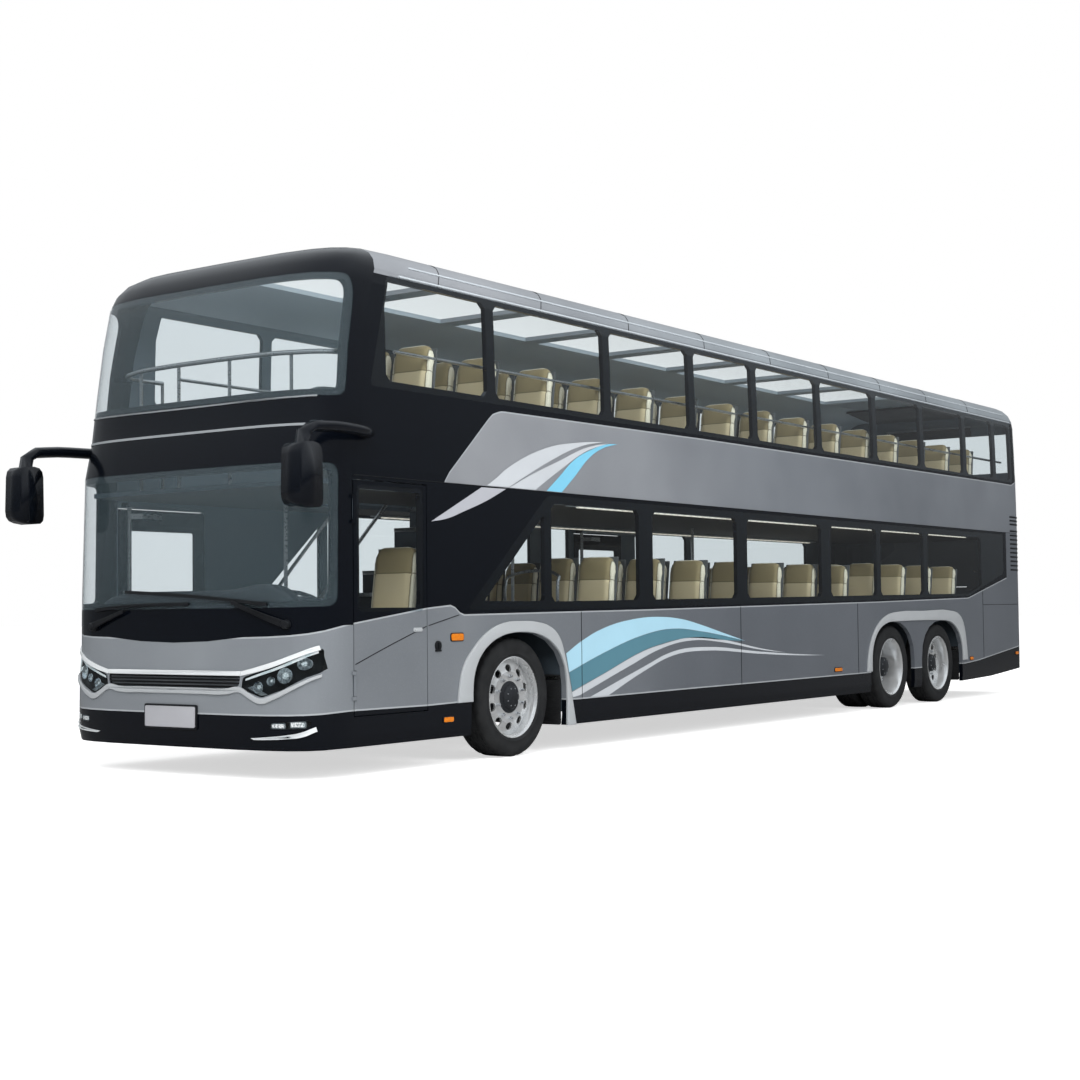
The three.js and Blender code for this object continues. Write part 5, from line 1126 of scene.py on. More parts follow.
# The driver's seat: the same leather over a wider sprung base.
DRIVER_X, DRIVER_Y, DRIVER_CUSHION, DRIVER_TOP, DRIVER_WIDER = -0.56 + FRONT_JOINT, 0.81, 1.01, 1.69, 1.12
pads = gather(seat_pads(DRIVER_X, DRIVER_Y, DRIVER_CUSHION, DRIVER_TOP))
for vert in pads.verts:
    vert.co.y = DRIVER_Y + (vert.co.y - DRIVER_Y) * DRIVER_WIDER
driver_pads = piece("driver_seat_leather", pads, leather, sharp=60)
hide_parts("driver_seat")
# foot, column and seat carrier: rear and front edge, half width, underside, top, rounding
base = [block(DRIVER_X - rear, DRIVER_X - front, DRIVER_Y - half, DRIVER_Y + half, low, high, round_by)
        for rear, front, half, low, high, round_by in (
            (0.43, 0.04, 0.2, 0.5604, 0.62, 0.015), (0.36, 0.10, 0.13, 0.61, 0.86, 0.03),
            (0.44, 0.02, 0.22, 0.85, 0.90, 0.02))]
base += seat_frame(DRIVER_X, DRIVER_Y, DRIVER_CUSHION, DRIVER_TOP)
piece("driver_seat_base", gather(base), shell_grey, sharp=40)

# ------------------------------------------------------------------ headlamps and fog lamps
# Each lamp is a clear polycarbonate cover over a black housing as deep as the panel's wall, with
# chromed projector bowls in the headlamps and two framed reflectors in the fog lamps.
lamp_cover = tinted_glass("clear_polycarbonate", "#f2f6f7")     # water-clear, a sharp mirror at a slant
dome_glass, tree, shader, place = surface("pressed_lamp_glass",
                                          {"Roughness": 0.08, "Specular IOR Level": 0.8})
# pale glass with the pressed facets that spread a beam
facets = add(tree, "TexVoronoi", {"Scale": 90.0}, {"Vector": place})
tone = add(tree, "Mix", {"data_type": "RGBA", 6: srgb("#eef1f2"), 7: srgb("#4d565c")}, {"Factor": facets})
bump = add(tree, "Bump", {"Strength": 0.5, "Distance": 0.002}, {"Height": facets})
wire(shader, {"Base Color": tone, "Normal": bump})


def hollow_lamp(node):
    """Splits a lamp's solid into its clear cover and the housing behind; returns both."""
    parts = []
    for cover in (True, False):
        form = bmesh.new()
        form.from_mesh(nodes[node].data)
        bmesh.ops.remove_doubles(form, verts=form.verts, dist=WELD)
        faces = [face for face in form.faces
                 if (skin_normal(*face.calc_center_median()).dot(face.normal) > ALONG_SKIN) != cover]
        bmesh.ops.delete(form, geom=faces, context="FACES")
        parts.append(form)
    for form, thickness in zip(parts, (0.003, 0.002)):
        bmesh.ops.solidify(form, geom=form.faces[:], thickness=thickness)
    return parts


def rounded(a0, a1, b0, b1, radius, steps=4):
    """The outline of a rectangle with round corners."""
    points = []
    for i, (a, b) in enumerate(((a1, b1), (a0, b1), (a0, b0), (a1, b0))):
        middle = (a + (-radius if a == a1 else radius), b + (-radius if b == b1 else radius))
        for k in range(steps + 1):
            turn = math.pi / 2 * (i + k / steps)
            points.append((middle[0] + radius * math.cos(turn), middle[1] + radius * math.sin(turn)))
    return points


def tile(a0, a1, b0, b1, radius, thickness, depth=0.0, bevel=0.001):
    """A flat piece with round corners, `depth` behind the surface it is set into."""
    outline = rounded(a0, a1, b0, b1, radius)
    form = sawn(outline, thickness, range(len(outline)), bevel)
    form.transform(Matrix.Translation((0, 0, -depth)))
    return form


# Each projector: how far out and how high it sits, and its radius.
PROJECTORS = [(0.842, 0.652, 0.043), (0.950, 0.697, 0.034), (1.052, 0.735, 0.056), (1.176, 0.815, 0.044)]
# A bowl and the lens in it: (share of the radius, depth).
BOWL = [(1.0, -0.010), (0.94, -0.007), (0.9, -0.012), (0.78, -0.026), (0.5, -0.036), (0.5, -0.039),
        (0.8, -0.031), (0.97, -0.016)]
DOME = [(0.0, -0.012), (0.22, -0.0135), (0.40, -0.019), (0.5, -0.030), (0.5, -0.037), (0.0, -0.037)]
WEDGE = [(0.752, 0.650), (0.868, 0.597), (0.925, 0.604), (0.80, 0.662)]
GUIDE = [(0.735, 0.712), (0.86, 0.752), (1.0, 0.797), (1.12, 0.850), (1.236, 0.908), (1.238, 0.890),
         (1.12, 0.828), (1.0, 0.779), (0.86, 0.736), (0.735, 0.700)]
CRESCENT = [(0.80, 0.300), (0.95, 0.312), (1.08, 0.326), (1.17, 0.345), (1.232, 0.378), (1.236, 0.352),
            (1.18, 0.318), (1.08, 0.304), (0.95, 0.296), (0.82, 0.293)]
# Each fog lamp's two frames: inner and outer edge, lower and upper edge.
FOG_FRAMES = ((0.958, 1.064, 0.370, 0.408), (1.095, 1.192, 0.376, 0.420))
for word, side in (("left", 1), ("right", -1)):
    cover, housing = hollow_lamp(f"headlamp_{word}")
    glass = piece(f"headlamp_cover_{word}", cover, lamp_cover)
    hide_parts(f"headlamp_{word}")
    piece(f"headlamp_housing_{word}", housing, grille_black)
    bowls, domes = [], []
    for out, height, radius in PROJECTORS:
        for profile, steps, batch in ((BOWL, 28, bowls), (DOME, 24, domes)):
            form = turned([(radius * share, depth) for share, depth in profile], steps)
            form.transform(Matrix.Translation((side * out, height, 0)))
            batch.append(form)
    wedge = sawn([(side * y, z) for y, z in WEDGE], 0.006, range(4), 0.001)
    wedge.transform(Matrix.Translation((0, 0, -0.012)))
    bowls.append(wedge)
    guide_strip = sawn([(side * y, z) for y, z in GUIDE], 0.005, BLADE_ENDS, 0.001)
    guide_strip.transform(Matrix.Translation((0, 0, -0.008)))
    piece(f"headlamp_guide_{word}", onto_nose(guide_strip, 0), light_guide)
    piece(f"headlamp_bowls_{word}", onto_nose(gather(bowls), 0), chrome)
    piece(f"headlamp_domes_{word}", onto_nose(gather(domes), 0), dome_glass)

    cover, housing = hollow_lamp(f"fog_lamp_{word}")
    glass = piece(f"fog_lamp_cover_{word}", cover, lamp_cover)
    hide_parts(f"fog_lamp_{word}")
    piece(f"fog_lamp_housing_{word}", housing, grille_black)
    frames, reflectors = [], []
    for near, far, low, high in FOG_FRAMES:
        a0, a1 = sorted((side * near, side * far))
        frames.append(tile(a0, a1, low, high, 0.008, 0.010, 0.012))
        reflectors.append(tile(a0 + 0.008, a1 - 0.008, low + 0.007, high - 0.007, 0.005, 0.012, 0.008))
    piece(f"fog_lamp_frames_{word}", onto_nose(gather(frames), 0), chrome)
    piece(f"fog_lamp_reflectors_{word}", onto_nose(gather(reflectors), 0), dome_glass)
    blade = sawn([(side * y, z) for y, z in CRESCENT], 0.010, BLADE_ENDS, 0.002)
    piece(f"fog_lamp_crescent_{word}", onto_nose(blade, 0.002), light_guide)

# ------------------------------------------------------------------ number plates
# Blank pressed aluminium plates with a raised edge, in black plastic holders: one screwed to the
# bumper, the other to the engine lid.
plate_metal = enamel("blank_plate_enamel", "#a3a4a9", 0.35)     # baked on the sheet: flat cool grey
PLATE_HALF, PLATE_TALL, HOLDER_RIM, EDGE_IN = 0.26, 0.0735, 0.014, 0.008


def number_plate(name, bend, height, out, body="body"):
    """A blank plate in its holder, its middle at `height`, `out` from the face that `bend` follows."""
    reach, low, high = PLATE_HALF, height - PLATE_TALL, height + PLATE_TALL
    holder = tile(-reach - HOLDER_RIM, reach + HOLDER_RIM, low - HOLDER_RIM, high + HOLDER_RIM, 0.014, 0.012)
    sheet = tile(-reach, reach, low, high, 0.012, 0.006, -0.009)
    outer = rounded(-reach + EDGE_IN, reach - EDGE_IN, low + EDGE_IN, high - EDGE_IN, 0.010)
    edge = tube([(a, b, 0.012) for a, b in outer + outer[:1]], 0.0018, False, 1)
    piece(name + "_holder", bend(holder, out), grille_black, body)
    piece(name, bend(gather([sheet, edge]), out), plate_metal, body)


number_plate("front_plate", onto_nose, 0.432, 0.004)

# ------------------------------------------------------------------ windscreen wipers
# Two black-sprayed steel arms on capped spindles under the lower screen, each with a long rubber
# blade in a black carrier that lies against the glass.
# Each wiper: name, pivot, the arm's bend, the blade's two ends.
WIPERS = [
    ("wiper_left", (1.06, 1.090), (0.62, 1.245), (-0.50, 1.335), (0.92, 1.232)),
    ("wiper_right", (-0.90, 1.080), (-0.52, 1.190), (-0.86, 1.205), (0.18, 1.240)),
]
PIVOT_HALF, TIP_HALF, ARM_LIFT = 0.022, 0.010, 0.030
BLADE_BOW, BLADE_STEPS = 0.012, 16
BLADE_LAYERS = ((0.011, 0.016, 0.026), (0.005, 0.003, 0.018))   # carrier and rubber: half width, foot, top
for name, pivot, bend, start, end in WIPERS:
    pivot, bend, start = Vector(pivot), Vector(bend), Vector(start)
    way = bend - pivot
    off = Vector((-way.y, way.x)).normalized()
    arm = sawn([tuple(pivot + off * PIVOT_HALF), tuple(bend + off * TIP_HALF), tuple(bend - off * TIP_HALF),
                tuple(pivot - off * PIVOT_HALF)], 0.012, range(4), 0.003)
    bmesh.ops.subdivide_edges(arm, edges=arm.edges[:], cuts=3)
    arm.transform(Matrix.Translation((0, 0, ARM_LIFT)))
    cap = turned([(0.0, 0.046), (0.022, 0.044), (0.030, 0.034), (0.034, 0.0), (0.0, 0.0)], 24)
    cap.transform(Matrix.Translation((*pivot, 0)))
    run = Vector(end) - start
    rise = Vector((-run.y, run.x)).normalized()
    bow = [start + run * (i / BLADE_STEPS) + rise * BLADE_BOW * math.sin(math.pi * i / BLADE_STEPS)
           for i in range(BLADE_STEPS + 1)]
    blades = []
    for width, low, high in BLADE_LAYERS:
        edge = [tuple(p + rise * width) for p in bow] + [tuple(p - rise * width) for p in reversed(bow)]
        strip = sawn(edge, high - low, range(len(edge)), 0.001)
        strip.transform(Matrix.Translation((0, 0, (low + high) / 2)))
        blades.append(strip)
    piece(name, onto_nose(gather([arm, cap] + blades), 0.0), grille_black, sharp=40)

# ------------------------------------------------------------------ mirrors
# Gloss-black housings on cranked arms from the corners of the front cap, each with a main glass
# and a wide-angle glass below it.
mirror_glass, tree, shader, place = surface("silvered_mirror_glass", {"Base Color": srgb("#dfe5e8"),
                                                                      "Metallic": 1.0, "Roughness": 0.03})
# silvered float glass, hardly rippled
waves = add(tree, "TexNoise", {"Scale": 6.0}, {"Vector": place})
bump = add(tree, "Bump", {"Strength": 0.02, "Distance": 0.004}, {"Height": waves})
wire(shader, {"Normal": bump})
# The housing's rear face at its foot, and how far it leans forward for each metre of height.
MIRROR_BACK, MIRROR_FOOT, MIRROR_LEAN = 0.56 + FRONT_JOINT, 1.86, 0.022
MIRROR_SPAN, MIRROR_PANES = (1.392, 1.523), ((2.00, 2.25), (1.925, 1.985))
for word, side in (("left", 1), ("right", -1)):
    smooth_copy(f"mirror_{word}", gloss_black, 48, on_skin=False)
    glasses = []
    for low, high in MIRROR_PANES:
        glass = tile(*sorted(side * edge for edge in MIRROR_SPAN), low, high, 0.016, 0.006)
        set_in = MIRROR_BACK + 0.001 + ((high + low) / 2 - MIRROR_FOOT) * MIRROR_LEAN
        glass.transform(Matrix(((0, 0, -1, set_in), (1, 0, 0, 0), (0, 1, 0, 0), (0, 0, 0, 1))))
        glasses.append(glass)
    piece(f"mirror_glass_{word}", gather(glasses), mirror_glass)

# ------------------------------------------------------------------ side markers and fittings
# Amber lenses clipped into black bases along the skirt, a lamp of the same kind beside the
# driver's door, and a flush latch behind that door.
amber_lens, tree, shader, place = surface("amber_lens", {"Roughness": 0.12, "Specular IOR Level": 0.6})
# dyed acrylic with moulded optics behind a smooth face
cells = add(tree, "TexVoronoi", {"Scale": 160.0}, {"Vector": place})
tone = add(tree, "Mix", {"data_type": "RGBA", 6: srgb("#e98a1c"), 7: srgb("#a9540a")}, {"Factor": cells})
wire(shader, {"Base Color": tone})
# Each marker: middle station, height, half length, half height.
DOOR_MARKER = (-1.205, 0.972, 0.072, 0.024)
MARKERS = [(-1.092, 0.352, 0.055, 0.016), (-7.84, 0.495, 0.085, 0.016), (-11.716, 0.505, 0.05, 0.016),
           (-13.36, 0.53, 0.05, 0.016)]
BASE_RIM, BASE_FACE, LENS_FACE = 0.008, 1.2775, 1.2815
for word, side, markers in (("left", 1, [DOOR_MARKER] + MARKERS), ("right", -1, MARKERS)):
    bases, lenses = [], []
    for station, height, half, tall in markers:
        base = tile(station - half - BASE_RIM, station + half + BASE_RIM, height - tall - BASE_RIM,
                    height + tall + BASE_RIM, tall * 0.7, 0.006)
        cover = tile(station - half, station + half, height - tall, height + tall, tall * 0.6, 0.008,
                     bevel=0.002)
        bases.append(onto_side(base, side, BASE_FACE))
        lenses.append(onto_side(cover, side, LENS_FACE))
    piece(f"marker_bases_{word}", gather(bases), grille_black)
    piece(f"marker_lenses_{word}", gather(lenses), amber_lens)
latch = [turned([(0.0, 0.012), (0.030, 0.012), (0.036, 0.009), (0.038, 0.0), (0.0, 0.0)], 28),
         block(-0.012, 0.012, -0.026, 0.026, 0.006, 0.026, 0.004)]
for form in latch:
    form.transform(Matrix.Translation((-0.975, 0.912, 0)))
latch.append(tile(-1.008, -0.942, 0.868, 0.882, 0.006, 0.02))
piece("side_latch", onto_side(gather(latch), 1, SIDE_FACE), grille_black)

# ------------------------------------------------------------------ roof trim
# Bright extruded cant-rail mouldings clipped over the windows, the roof sheets' slanted joints
# beaded with sealant, and a black moulded vent pod at the rear.
cant_silver = enamel("anodised_cant_rail", "#c3cbd1", 0.28)     # pale, with a silky gleam along it
JOINT_COUNT, FIRST_JOINT, JOINT_PITCH, JOINT_SLANT, JOINT_TOP, JOINT_STEPS = 9, -1.05, 1.35, 0.144, 3.868, 8
joints = []
for i in range(JOINT_COUNT):
    station = FIRST_JOINT - JOINT_PITCH * i
    for side in (1, -1):
        line = []
        for share in [k / JOINT_STEPS for k in range(JOINT_STEPS + 1)]:
            z = EAVE + 0.004 + (JOINT_TOP - EAVE) * share
            y = side * (HALF_WIDTH - section(z)[0] + 0.0006)
            line.append((station - JOINT_SLANT * share + FRONT_JOINT, y, z))
        joints.append(tube(line, FINE_SEAM, True, 1))
piece("roof_joints", gather(joints), sealant_and_crease_shade)
# Each rail: height, front and rear end.
CANT_RAILS = [(3.652, -0.6, -13.35), (3.742, -0.75, -13.2)]
for number, (z, start, end) in enumerate(CANT_RAILS):
    strips = []
    for side in (1, -1):
        y = side * (HALF_WIDTH - section(z)[0] + 0.002)
        strips.append(tube([(start + FRONT_JOINT, y, z), (end + FRONT_JOINT, y, z)], 0.007, False, 2))
    piece(f"cant_rail_{number + 1}", gather(strips), cant_silver)
POD, POD_WIDTH = [(-12.36, 3.84), (-12.42, 3.872), (-12.8, 3.876), (-13.05, 3.862), (-13.25, 3.83),
                  (-13.33, 3.79), (-13.0, 3.78)], 1.36
form = sawn(POD, POD_WIDTH, range(len(POD)), 0.02, 4)
form.transform(Matrix(((1, 0, 0, FRONT_JOINT), (0, 0, -1, 0), (0, 1, 0, 0), (0, 0, 0, 1))))
piece("roof_vent", form, grille_black)

# ------------------------------------------------------------------ tail
# Three-colour lamp clusters, cooling louvres on the rear corners and the lid, a blank plate and
# a high brake lamp.
TAIL, TAIL_CORNER = -13.6 + FRONT_JOINT, 0.15
TAIL_BREAK, TAIL_EASE, TAIL_INSET = 3.56, 0.11, 0.01    # above this height the tail eases in, by this much


def onto_tail(form, out):
    """Stands a piece drawn as seen from ahead (y, z) on the tail, round its corners."""
    for vert in form.verts:
        y, z, depth = vert.co
        over = min(max(0.0, abs(y) - (HALF_WIDTH - TAIL_CORNER)), TAIL_CORNER * 0.999)
        dip = TAIL_CORNER - math.sqrt(TAIL_CORNER ** 2 - over ** 2)
        inset = max(0.0, min((z - TAIL_BREAK) / TAIL_EASE, 1.0)) * TAIL_INSET
        vert.co = (TAIL + inset + dip - out - depth, y, z)
    return form


red_lens, tree, shader, place = surface("tail_lamp_lens", {"Roughness": 0.1, "Specular IOR Level": 0.6})
# moulded acrylic in three colours, red above amber above clear, ribbed inside every 12 mm
axes = add(tree, "SeparateXYZ", {}, {0: place}).outputs
ribs = add(tree, "Math", {"operation": "MULTIPLY", 1: 2 * math.pi / 0.012}, {0: axes["Z"]})
ribs = add(tree, "Math", {"operation": "SINE"}, {0: ribs})
amber = add(tree, "Math", {"operation": "LESS_THAN", 1: 1.18}, {0: axes["Z"]})
clear = add(tree, "Math", {"operation": "LESS_THAN", 1: 1.02}, {0: axes["Z"]})
tone = add(tree, "Mix", {"data_type": "RGBA", 6: srgb("#b00f16"), 7: srgb("#e48a1f")}, {"Factor": amber})
tone = add(tree, "Mix", {"data_type": "RGBA", 7: srgb("#e3e7e9")}, {"Factor": clear, 6: tone})
bump = add(tree, "Bump", {"Strength": 0.5, "Distance": 0.002}, {"Height": ribs})
wire(shader, {"Base Color": tone, "Normal": bump})
# Each louvre: its height and where it starts on the tail; all end just short of the side.
LOUVRES = [(2.36 - 0.05 * i, 1.10) for i in range(3)] + [(2.17 - 0.058 * i, 1.08) for i in range(10)]
LOUVRE_HALF, LOUVRE_END, LOUVRE_SIDE = 0.010, 1.2738, (-13.45, -13.20)
# A louvre is cut across here, so that it can bend round the corner.
BENDS = [1.2] + [1.13 + 0.0195 * k for k in range(1, 8)]
for word, side in (("left", 1), ("right", -1)):
    lamp_lens = smooth_copy(f"tail_lamp_{word}", red_lens, 48, on_skin=False)
    slots = []
    for height, near in LOUVRES:
        low, high = height - LOUVRE_HALF, height + LOUVRE_HALF
        corner = tile(*sorted((side * near, side * LOUVRE_END)), low, high, 0.006, 0.006)
        for out in BENDS:
            bmesh.ops.bisect_plane(corner, geom=corner.verts[:] + corner.edges[:] + corner.faces[:],
                                   plane_co=(side * out, 0, 0), plane_no=(1, 0, 0))
        slots.append(onto_tail(corner, 0.002))
        slots.append(onto_side(tile(*LOUVRE_SIDE, low, high, 0.006, 0.006), side, 1.2765))
    piece(f"tail_louvres_{word}", gather(slots), grille_black)
    reflector = tile(*sorted((side * 0.98, side * 1.12)), 0.70, 0.74, 0.01, 0.008, bevel=0.002)
    piece(f"rear_reflector_{word}", onto_tail(reflector, 0.004), red_lens)
FIN_COUNT, FIN_REACH, FIN_FOOT, FIN_TOP, FIN_PITCH = 7, 0.62, 0.842, 0.853, 0.062
fins = []
for rise in [FIN_PITCH * i for i in range(FIN_COUNT)]:
    fin = tile(-FIN_REACH, FIN_REACH, FIN_FOOT + rise, FIN_TOP + rise, 0.004, 0.012)
    fins.append(onto_tail(fin, 0.004))
piece("engine_lid_fins", gather(fins), grille_black, "engine_lid")
grip = tube([(out, 0.575, lift) for out, lift in ((-0.16, 0.0), (-0.15, 0.004), (0.15, 0.004), (0.16, 0.0))],
            0.005, False)
piece("engine_lid_grip", onto_tail(grip, 0.001), grille_black, "engine_lid")
number_plate("rear_plate", onto_tail, 0.70, -0.002, "engine_lid")
lens = onto_tail(tile(-0.24, 0.24, 3.605, 3.635, 0.008, 0.008), 0.002)
piece("high_brake_lamp", lens, red_lens)

# ------------------------------------------------------------------ floors and stairs
# Plywood decks under flecked safety vinyl, pressed blue-grey liners round the wheel houses and
# the stairs, and a dark trimmed ceiling over the lower deck.


def deck_finish(name, top, sides, under):
    """Flecked vinyl on faces that look up, trim on upright ones, lining on those that look down."""
    material, tree, shader, place = surface(name, {"Roughness": 0.6, "Specular IOR Level": 0.3})
    flecks = add(tree, "TexVoronoi", {"Scale": 70.0}, {"Vector": place})
    speck = add(tree, "Math", {"operation": "LESS_THAN", 1: 0.16}, {0: flecks})
    vinyl = add(tree, "Mix", {"data_type": "RGBA", 6: srgb(top), 7: srgb("#8d9196")}, {"Factor": speck})
    worn = add(tree, "TexNoise", {"Scale": 2.5, "Detail": 4.0}, {"Vector": place})
    facing = add(tree, "SeparateXYZ", {}, {0: place.node.outputs["Normal"]}).outputs
    up = add(tree, "Math", {"operation": "GREATER_THAN", 1: 0.5}, {0: facing["Z"]})
    down = add(tree, "Math", {"operation": "LESS_THAN", 1: -0.5}, {0: facing["Z"]})
    darker = [0.75 * c for c in srgb(sides)[:3]] + [1.0]
    trim = add(tree, "Mix", {"data_type": "RGBA", 6: srgb(sides), 7: darker}, {"Factor": worn})
    lined = add(tree, "Mix", {"data_type": "RGBA", 7: srgb(under)}, {"Factor": down, 6: trim})
    laid = add(tree, "Mix", {"data_type": "RGBA"}, {"Factor": up, 6: lined, 7: vinyl})
    bump = add(tree, "Bump", {"Strength": 0.2, "Distance": 0.001}, {"Height": flecks})
    wire(shader, {"Base Color": laid, "Normal": bump})
    return material


deck_vinyl = deck_finish("flecked_safety_vinyl", "#54585d", "#3d464e", "#4e4c49")
dress(deck_vinyl, "lower_deck", "upper_deck", "stairs")
steel, tree, shader, place = surface("brushed_stainless_steel", {"Metallic": 1.0})
# satin-ground tube and strip: fine scratches that run along it
stretch = add(tree, "Mapping", {"Scale": (4.0, 220.0, 220.0)}, {"Vector": place})
grind = add(tree, "TexNoise", {"Scale": 1.0, "Detail": 2.0}, {"Vector": stretch})
gloss = add(tree, "MapRange", {"To Min": 0.18, "To Max": 0.38}, {"Value": grind})
tone = add(tree, "MapRange", {"To Min": 0.55, "To Max": 0.72}, {"Value": grind})
wire(shader, {"Roughness": gloss, "Base Color": tone})
STAIR_FRONT, STAIR_GOING, STAIR_RISERS, STAIR_FOOT, STAIR_TOP = -1.15, 0.215, 9, 0.3604, 2.1096
STAIR_Y, NOSING = (-0.58, -0.06), 0.004
rise = (STAIR_TOP - STAIR_FOOT) / STAIR_RISERS
nosings = []
for i in range(STAIR_RISERS):
    x, z = STAIR_FRONT - STAIR_GOING * i + FRONT_JOINT, STAIR_FOOT + rise * (i + 1)
    nosings.append(block(x - 0.035, x + NOSING, *STAIR_Y, z, z + NOSING, 0.0015))
    nosings.append(block(x, x + NOSING, *STAIR_Y, z - 0.03, z + NOSING, 0.0015))
piece("stair_nosings", gather(nosings), steel)


def rail(points, radius, smooth=True):
    """A steel tube along points given as (station, y, z)."""
    return tube([(station + FRONT_JOINT, y, z) for station, y, z in points], radius, smooth)


STAIR_RAIL = 0.015
rails = [rail([(-1.06, y, 0.42), (-1.06, y, 1.20), (-1.16, y, 1.34), (-2.95, y, 2.98), (-3.06, y, 3.02),
               (-3.10, y, 2.95), (-3.10, y, 2.13)], STAIR_RAIL) for y in (-0.60, -0.04)]
for points in ([(-1.48, -0.04, 2.12), (-1.48, -0.04, 2.95), (-1.55, -0.04, 3.02), (-3.0, -0.04, 3.02)],
               [(-1.48, -0.62, 2.12), (-1.48, -0.62, 2.95), (-1.48, -0.55, 3.02), (-1.48, -0.11, 3.02)]):
    rails.append(rail(points, STAIR_RAIL))
piece("stair_rails", gather(rails), steel)

# the landing inside the middle door: a floor board, and a panel over each seat platform's end
LANDING_X = (-7.445 + FRONT_JOINT, -6.440 + FRONT_JOINT)
LANDING_Y = (-1.185, -0.345)
BOARD, PANEL, PANEL_TOP = (0.327, 0.3615), 0.012, 0.505
landing = [block(LANDING_X[0] - 0.01, LANDING_X[1] + 0.01, *LANDING_Y, *BOARD, 0.0015)]
for x in (LANDING_X[0] - PANEL - 0.002, LANDING_X[1] + 0.002):
    landing.append(block(x, x + PANEL, *LANDING_Y, BOARD[0], PANEL_TOP, 0.001))
piece("middle_door_landing", gather(landing), deck_vinyl)
# a folded steel edge closes the floor down to the skirt in both passenger doorways
DOORWAYS = ((-7.430, -6.455), (-0.975, -0.030))
thresholds = [block(rear + FRONT_JOINT, front + FRONT_JOINT, -1.228, -1.216, 0.25, 0.363, 0.002)
              for rear, front in DOORWAYS]
piece("door_thresholds", gather(thresholds), steel)

# ------------------------------------------------------------------ handrails and grab poles
# Satin steel tube, 28 mm across, on short brackets at the window pillars, a guard rail on posts
# behind the upper screen, and poles from floor to ceiling at the doors.
PILLARS = (-1.69, -3.37, -4.83, -6.07, -7.52, -8.95, -10.31, -11.68, -12.72)
RAIL_Y, RAIL_HIGH, RAIL_RADIUS = 1.165, 3.10, 0.014
for word, side in (("left", 1), ("right", -1)):
    y = side * RAIL_Y
    forms = [rail([(station, y, RAIL_HIGH) for station in (-0.62, -6.9, -13.2)], RAIL_RADIUS, False)]
    for station in PILLARS:
        forms.append(rail([(station, y, RAIL_HIGH), (station, side * 1.205, RAIL_HIGH)], 0.010, False))
    forms.append(rail([(-12.2, side * 1.15, 1.62), (-12.95, side * 1.15, 1.62)], RAIL_RADIUS, False))
    piece(f"window_rail_{word}", gather(forms), steel)
GUARD_FOOT, GUARD_HIGH, GUARD_RADIUS, POST_RADIUS = 2.112, 3.04, 0.018, 0.013
# The guard rail's bend from left to right, and its posts: (station, y).
GUARD = [(-0.42, 1.13), (-0.05, 1.10), (0.13, 0.80), (0.19, 0.40), (0.20, 0.0), (0.19, -0.40), (0.13, -0.80),
         (-0.05, -1.10), (-0.42, -1.13)]
POSTS = [(0.20 - 0.11 * (y / 0.8) ** 2, y) for y in (-0.80, -0.27, 0.27, 0.80)] + [GUARD[0], GUARD[-1]]
forms = [rail([(station, y, GUARD_HIGH) for station, y in GUARD], GUARD_RADIUS)]
for station, y in POSTS:
    forms.append(rail([(station, y, GUARD_FOOT), (station, y, GUARD_HIGH)], POST_RADIUS, False))
piece("front_rails", gather(forms), steel)
FLOOR_TOP, CEILING_FACE, POLE_RADIUS = 0.361, 2.072, 0.016
forms = [rail([(station, y, FLOOR_TOP), (station, y, CEILING_FACE)], POLE_RADIUS, False)
         for station, y in ((-1.02, -0.34), (-6.36, -0.34), (-7.53, -0.34), (-3.25, 0.30))]
forms.append(rail([(-2.72, 0.62, 1.07), (-2.72, 0.62, 1.42), (-2.76, 0.62, 1.46), (-2.76, 1.14, 1.46),
                   (-2.72, 1.16, 1.40), (-2.72, 1.16, 1.07)], RAIL_RADIUS))
piece("grab_poles", gather(forms), steel)

# ------------------------------------------------------------------ interior lights and ducts
# Slim opal diffusers along both sides of the lower deck's ceiling, clipped under moulded air
# ducts that are screwed up beside them.
diffuser, tree, shader, place = surface("lit_diffuser", {"Base Color": srgb("#f5f3ea"), "Roughness": 0.5,
                                                         "Emission Color": srgb("#fff6e2")})
# opal acrylic lit from behind, a little brighter where each lamp sits
along = add(tree, "SeparateXYZ", {}, {0: place}).outputs
beat = add(tree, "Math", {"operation": "MULTIPLY", 1: 2 * math.pi / 0.12}, {0: along["X"]})
beat = add(tree, "Math", {"operation": "SINE"}, {0: beat})
power = add(tree, "MapRange", {"From Min": -1.0, "To Min": 0.45, "To Max": 0.7}, {"Value": beat})
wire(shader, {"Emission Strength": power})
duct_grey = enamel("moulded_duct_grey", "#a9aeb2", 0.5)     # moulded ABS, pale and satin
LIGHT_ENDS, DUCT_ENDS = (-12.0 + FRONT_JOINT, -3.1 + FRONT_JOINT), (-12.1 + FRONT_JOINT, -3.0 + FRONT_JOINT)
DUCT_SPAN, LIGHT_IN = (1.05, 1.17), 0.045
for word, side in (("left", 1), ("right", -1)):
    near, far = sorted(side * edge for edge in DUCT_SPAN)
    strip = block(*LIGHT_ENDS, near + LIGHT_IN, far - LIGHT_IN, 2.048, 2.060, 0.003)
    duct = block(*DUCT_ENDS, near, far, 2.058, 2.0745, 0.006)
    piece(f"light_strips_{word}", strip, diffuser)
    piece(f"light_ducts_{word}", duct, duct_grey)

# ------------------------------------------------------------------ driver's place
# A moulded dash in grained black with a shelf under the screen, and on it a hooded instrument
# panel with two plated rings behind one smoked cover.
dash_black, tree, shader, place = surface("grained_dash_plastic",
                                          {"Roughness": 0.65, "Specular IOR Level": 0.3})
